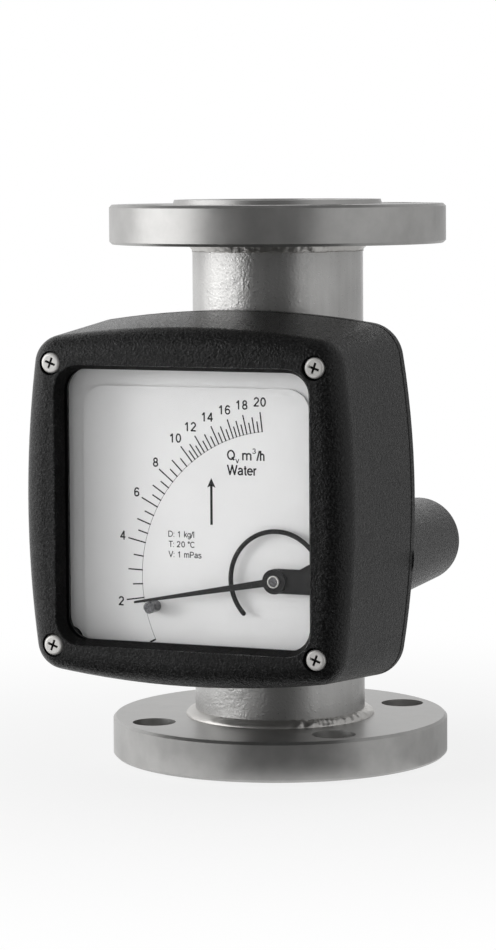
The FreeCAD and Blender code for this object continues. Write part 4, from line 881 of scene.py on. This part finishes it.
def bead(weld, legs, hollow, flange_z, upward, coarseness):
    """Fillet bead spun round the tube, then given ripples and a wandering edge."""
    reach, climb = legs
    bm = bmesh.new()
    loop = [bm.verts.new((TUBE_RADIUS + out, 0, up))
            for out, up in bead_section(weld, reach, climb, hollow)]
    edges = [bm.edges.new((loop[i - 1], loop[i])) for i in range(len(loop))]
    bmesh.ops.spin(bm, geom=loop + edges, cent=(0, 0, 0), axis=UP, angle=2 * math.pi,
                   steps=BEAD_STEPS, use_merge=True, use_duplicate=False)
    bmesh.ops.remove_doubles(bm, verts=bm.verts, dist=MERGE_DISTANCE)
    for vert in bm.verts:
        roughen(vert, weld, reach, climb, coarseness)
    flip = Matrix.Translation((0, 0, flange_z)) @ Matrix.Diagonal((1, 1, 1 if upward else -1, 1))
    bm.transform(flip)
    return bm


def compass(angle):
    """Azimuth of a point round the tube, in degrees from the front towards the right."""
    return math.degrees(angle) + 90


def patch(azimuth, centre, half_width):
    """1 in the middle of a patch of the bead, falling to 0 at its ends."""
    away = abs((azimuth - centre + 180) % 360 - 180)
    return max(0.0, 1 - (away / half_width) ** 2)


def lower_coarseness(azimuth):
    """How coarse the lower bead is: rough at the right and at the back."""
    return 0.12 + patch(azimuth, 62, 52) + patch(azimuth, 215, 70)


def upper_coarseness(azimuth):
    """How coarse the upper bead is: rough at the front and at the back."""
    return 0.35 + 0.6 * patch(azimuth, 15, 60) + patch(azimuth, 190, 60)


class ROTAMETER_OT_weld_beads(bpy.types.Operator):
    """Lay the fillet beads between the tube and both flanges"""

    bl_idname = "rotameter.weld_beads"
    bl_label = "Weld Beads"

    def execute(self, context):
        weld = context.scene.rotameter_weld
        steel = bpy.data.materials["weld_steel"]
        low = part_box("inlet_weld")[0].z
        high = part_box("outlet_weld")[1].z
        lower = bead(weld, weld.lower_legs, weld.lower_hollow, low, True, lower_coarseness)
        inlet = piece_from(lower, "inlet_weld_bead", steel, BEAD_SMOOTH_ANGLE)
        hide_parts("inlet_weld")
        upper = bead(weld, weld.upper_legs, weld.upper_hollow, high, False, upper_coarseness)
        outlet = piece_from(upper, "outlet_weld_bead", steel, BEAD_SMOOTH_ANGLE)
        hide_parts("outlet_weld")
        return {"FINISHED"}


# -------- finishes on the CAD pieces
class ROTAMETER_OT_steel(bpy.types.Operator):
    """Finish the flanges, the tube and the measuring parts inside it"""

    bl_idname = "rotameter.steel"
    bl_label = "Steel Parts"

    def execute(self, context):
        colours = context.scene.rotameter_finish
        put_on(flange_steel(colours), "inlet_flange", "outlet_flange")
        put_on(blasted_steel(colours), "metering_tube", "mounting_block")
        put_on(weld_steel(colours), "inlet_weld", "outlet_weld", "block_welds")
        put_on(turned_steel("turned_steel", colours.turned, 0.26),
               "metering_cone", "lower_guide", "upper_guide", "float_body", "float_rod",
               "float_stop_collar", "brake_yoke")
        put_on(turned_steel("magnet_nickel", colours.magnet, 0.34),
               "float_magnet", "follower_magnet", "brake_magnets")
        return {"FINISHED"}


class ROTAMETER_OT_housing(bpy.types.Operator):
    """Finish the painted housing, its window and its screws"""

    bl_idname = "rotameter.housing"
    bl_label = "Housing"

    def execute(self, context):
        colours = context.scene.rotameter_finish
        put_on(wrinkle_paint(colours), "front_cover", "rear_base")
        put_on(window_glass(), "window_glass")
        put_on(recessed_zinc(colours, "cover_screws"), "cover_screws")
        put_on(matt_black("seal_rubber", colours.black, 0.7, 0.6 * MM, 0.02 * MM, gloss=0.25),
               "glass_seal", "base_gasket", "entry_seal")
        put_on(matt_black("black_moulding", colours.black, 0.5, 0.5 * MM, 0.02 * MM, gloss=0.3),
               "entry_plug", "glass_retainer")
        put_on(turned_steel("plated_screws", colours.plated, 0.4, 0.5 * MM, SCREW_METALLIC),
               "housing_screws", "retainer_screws", "carrier_screws",
               "bridge_screws", "hub_collet")
        put_on(turned_steel("dull_steel", colours.dull, 0.26, 0.5 * MM), "hub_screw", "stop_pin")
        return {"FINISHED"}


class ROTAMETER_OT_movement(bpy.types.Operator):
    """Finish the dial, the needle and the movement behind the dial"""

    bl_idname = "rotameter.movement"
    bl_label = "Movement"

    def execute(self, context):
        colours = context.scene.rotameter_finish
        dial_ink(colours)
        put_on(dial_paint(colours), "dial_plate", "dial_carrier")
        put_on(matt_black("black_enamel", colours.black, 0.45, 0.5 * MM, 0.012 * MM, gloss=0.2),
               "pointer_needle", "pointer_bridge", "base_posts")
        put_on(turned_steel("movement_alloy", colours.alloy, 0.32),
               "movement_plate", "dial_posts", "bridge_posts", "follower_arm", "brake_disc",
               "pointer_shaft")
        put_on(turned_steel("bearing_brass", colours.brass, 0.27),
               "front_bush", "rear_bush", "counterweight")
        return {"FINISHED"}


# -------- studio
WHITE = (1, 1, 1, 1)
FLOOR_HALF = 6.0
FLOOR_GLOW = 0.82  # share of the floor near the meter that glows white by itself
FADE_START = 0.08
FADE_END = 0.4

# Each lamp's azimuth and elevation in degrees, its distance, and the width of its square.
KEY_PLACE = (-58, 6, 1.8)
KEY_WIDTH = 1.9
ACCENT_PLACE = (-56, 6, 1.7)
ACCENT_WIDTH = 0.45

# Points of the cards' sections, in distance from the tube's axis and height over the floor.
CARD_DISTANCE = 0.5
CARD_LIFT = 0.001
NEAR_FOOT = (0.1, CARD_LIFT)
FOOT = (CARD_DISTANCE, CARD_LIFT)
TOP = (CARD_DISTANCE, 0.9)
CARD_STEPS = 24
OVERHEAD_RADIUS = 2.4
OVERHEAD_HEIGHT = 2.2


def lying(start, end):
    """Section of a card that lies over the floor and the other cards' feet."""
    return ((start, 2 * CARD_LIFT), (end, 2 * CARD_LIFT))


# Each spun card's section, first and last azimuth, and the setting of its brightness.
CARDS = {
    "front_card": ((FOOT, TOP), -28, 46, "front_card"),
    "front_floor_card": (lying(0.09, CARD_DISTANCE), 0, 58, "front_card"),
    "under_card": (lying(0.11, 0.19), -50, 0, "front_card"),
    "side_floor_card": (lying(0.078, 0.16), 80, 175, "floor_card"),
    "side_card": ((NEAR_FOOT, FOOT, TOP), 46, 100, "side_card"),
    "far_card": ((NEAR_FOOT, FOOT, TOP), 100, 175, "far_card"),
}


def turned(turn, axis):
    """Rotation by some degrees about one axis."""
    return Matrix.Rotation(math.radians(turn), 4, axis)


def soft_box(name, place, width, power):
    """Square soft lamp that looks at the meter's middle."""
    lamp = bpy.data.lights.new(name, "AREA")
    lamp.shape = "SQUARE"
    lamp.size = width
    lamp.energy = power
    azimuth, elevation, distance = place
    holder = in_scene(name, lamp)
    holder.matrix_world = (Matrix.Translation((0, 0, METER_HEIGHT / 2))
                           @ turned(azimuth, "Z") @ turned(90 - elevation, "X")
                           @ Matrix.Translation((0, 0, distance)))
    return holder


def stage_piece(bm, name, material):
    """Turns a bmesh into a piece of the studio."""
    piece = meshed(bm, name, material)
    return piece


def seen_rays(tree):
    """1 for rays that see the background straight, in a reflection or through glass."""
    camera = tree.add("ShaderNodeLightPath", output="Is Camera Ray")
    outputs = camera.socket.node.outputs
    glossy = Signal(tree, outputs["Is Glossy Ray"])
    through = Signal(tree, outputs["Is Transmission Ray"])
    return tree.add(
        "ShaderNodeMath", {"operation": "MINIMUM"}, {0: camera + glossy + through, 1: 1.0})


def floor_finish(studio):
    """Pale floor that keeps the meter's shadow and runs out into the white backdrop."""
    finish = Finish("studio_floor")
    mottle = finish.noise(0.2)
    paint = finish.add("ShaderNodeBsdfDiffuse", {}, {
        "Color": finish.mottled(studio.floor, 0.99, 1.01, mottle)})
    glow = finish.add("ShaderNodeEmission", {}, {"Color": WHITE})
    far = finish.add(
        "ShaderNodeMapRange", {"interpolation_type": "SMOOTHSTEP"},
        {"Value": finish.length(finish.place), "From Min": FADE_START, "From Max": FADE_END})
    share = (far * (1 - FLOOR_GLOW) + FLOOR_GLOW) * seen_rays(finish)
    return finish.close(finish.add("ShaderNodeMixShader", {}, {0: share, 1: paint, 2: glow}))


def light_room(studio):
    """Even room light with a white backdrop for the eye, mirrors and glass."""
    world = bpy.data.worlds.new("studio_world")
    bpy.context.scene.world = world
    room = ShaderTree(world)
    strength = seen_rays(room) * (1 - studio.room_light) + studio.room_light
    light = room.add("ShaderNodeBackground", {}, {"Color": WHITE, "Strength": strength})
    room.close(light, "ShaderNodeOutputWorld")


def mirrored_card(bm, name, level):
    """Evenly glowing card that only reflections see; it neither lights nor hides anything."""
    tree = ShaderTree(bpy.data.materials.new(name))
    glow = tree.add("ShaderNodeEmission", {}, {"Color": (level, level, level, 1)})
    card = stage_piece(bm, name, tree.close(glow))
    card.visible_camera = False
    card.visible_diffuse = False
    card.visible_transmission = False
    card.visible_shadow = False


def spun_card(name, section, first, last, level):
    """Card whose section is spun between two azimuths."""
    bm = bmesh.new()
    turn = turned(first, "Z")
    points = [bm.verts.new(turn @ Vector((0, -out, up))) for out, up in section]
    edges = [bm.edges.new(pair) for pair in zip(points, points[1:])]
    bmesh.ops.spin(bm, geom=points + edges, cent=(0, 0, 0), axis=UP,
                   angle=math.radians(last - first), steps=CARD_STEPS, use_merge=False,
                   use_duplicate=False)
    mirrored_card(bm, name, level)


def overhead_card(name, level):
    """Round card that lies over the meter."""
    bm = bmesh.new()
    bmesh.ops.create_circle(bm, cap_ends=True, segments=48, radius=OVERHEAD_RADIUS)
    bmesh.ops.translate(bm, verts=bm.verts, vec=UP * OVERHEAD_HEIGHT)
    mirrored_card(bm, name, level)


def place_camera(studio):
    """Camera on the viewing direction, with the shift that frames the meter."""
    camera = bpy.data.cameras.new("camera")
    camera.lens = studio.focal_length
    camera.sensor_width = 36.0
    camera.shift_x = studio.shift_right
    camera.shift_y = studio.shift_up
    camera.clip_start = 0.05
    camera.clip_end = 50
    holder = in_scene("camera", camera)
    holder.matrix_world = (Matrix.Rotation(studio.azimuth, 4, "Z")
                           @ Matrix.Translation((0, -studio.distance, studio.height))
                           @ Matrix.Rotation(math.pi / 2 - studio.tilt, 4, "X")
                           @ Matrix.Rotation(studio.roll, 4, "Z"))
    bpy.context.scene.camera = holder


class ROTAMETER_OT_studio(bpy.types.Operator):
    """Set up the floor, the lamps, the room and the camera"""

    bl_idname = "rotameter.studio"
    bl_label = "Studio"

    def execute(self, context):
        studio = context.scene.rotameter_studio
        floor = bmesh.new()
        bmesh.ops.create_grid(floor, x_segments=1, y_segments=1, size=FLOOR_HALF)
        stage_piece(floor, "studio_floor", floor_finish(studio))
        light_room(studio)
        soft_box("key_lamp", KEY_PLACE, KEY_WIDTH, studio.key_power)
        accent = soft_box("accent_lamp", ACCENT_PLACE, ACCENT_WIDTH, studio.accent_power)
        accent.visible_glossy = False
        for name, (section, first, last, setting) in CARDS.items():
            spun_card(name, section, first, last, getattr(studio, setting))
        overhead_card("top_card", studio.top_card)
        place_camera(studio)
        context.scene.view_settings.view_transform = "Standard"
        return {"FINISHED"}


# -------- add-on
MAKING_ORDER = (
    ROTAMETER_OT_steel,
    ROTAMETER_OT_housing,
    ROTAMETER_OT_movement,
    ROTAMETER_OT_dial_scale,
    ROTAMETER_OT_dial_numerals,
    ROTAMETER_OT_dial_words,
    ROTAMETER_OT_weld_beads,
    ROTAMETER_OT_studio,
)
SETTINGS = {
    "rotameter_dial": DialSettings,
    "rotameter_weld": WeldSettings,
    "rotameter_finish": FinishSettings,
    "rotameter_studio": StudioSettings,
}


class ROTAMETER_PT_panel(bpy.types.Panel):
    """Lists the meter's steps and their settings"""

    bl_idname = "ROTAMETER_PT_panel"
    bl_label = "Rotameter"
    bl_space_type = "VIEW_3D"
    bl_region_type = "UI"
    bl_category = "Rotameter"

    def draw(self, context):
        for step in MAKING_ORDER:
            self.layout.operator(step.bl_idname)
        for name, group in SETTINGS.items():
            box = self.layout.box()
            for field in group.__annotations__:
                box.prop(getattr(context.scene, name), field)


def register():
    for group in SETTINGS.values():
        bpy.utils.register_class(group)
    for step in MAKING_ORDER:
        bpy.utils.register_class(step)
    bpy.utils.register_class(ROTAMETER_PT_panel)
    for name, group in SETTINGS.items():
        setattr(bpy.types.Scene, name, bpy.props.PointerProperty(type=group))


def unregister():
    for name in SETTINGS:
        delattr(bpy.types.Scene, name)
    bpy.utils.unregister_class(ROTAMETER_PT_panel)
    for step in reversed(MAKING_ORDER):
        bpy.utils.unregister_class(step)
    for group in reversed(list(SETTINGS.values())):
        bpy.utils.unregister_class(group)


def main():
    register()
    for step in MAKING_ORDER:
        family, name = step.bl_idname.split(".")
        getattr(getattr(bpy.ops, family), name)()


if __name__ == "__main__":
    main()
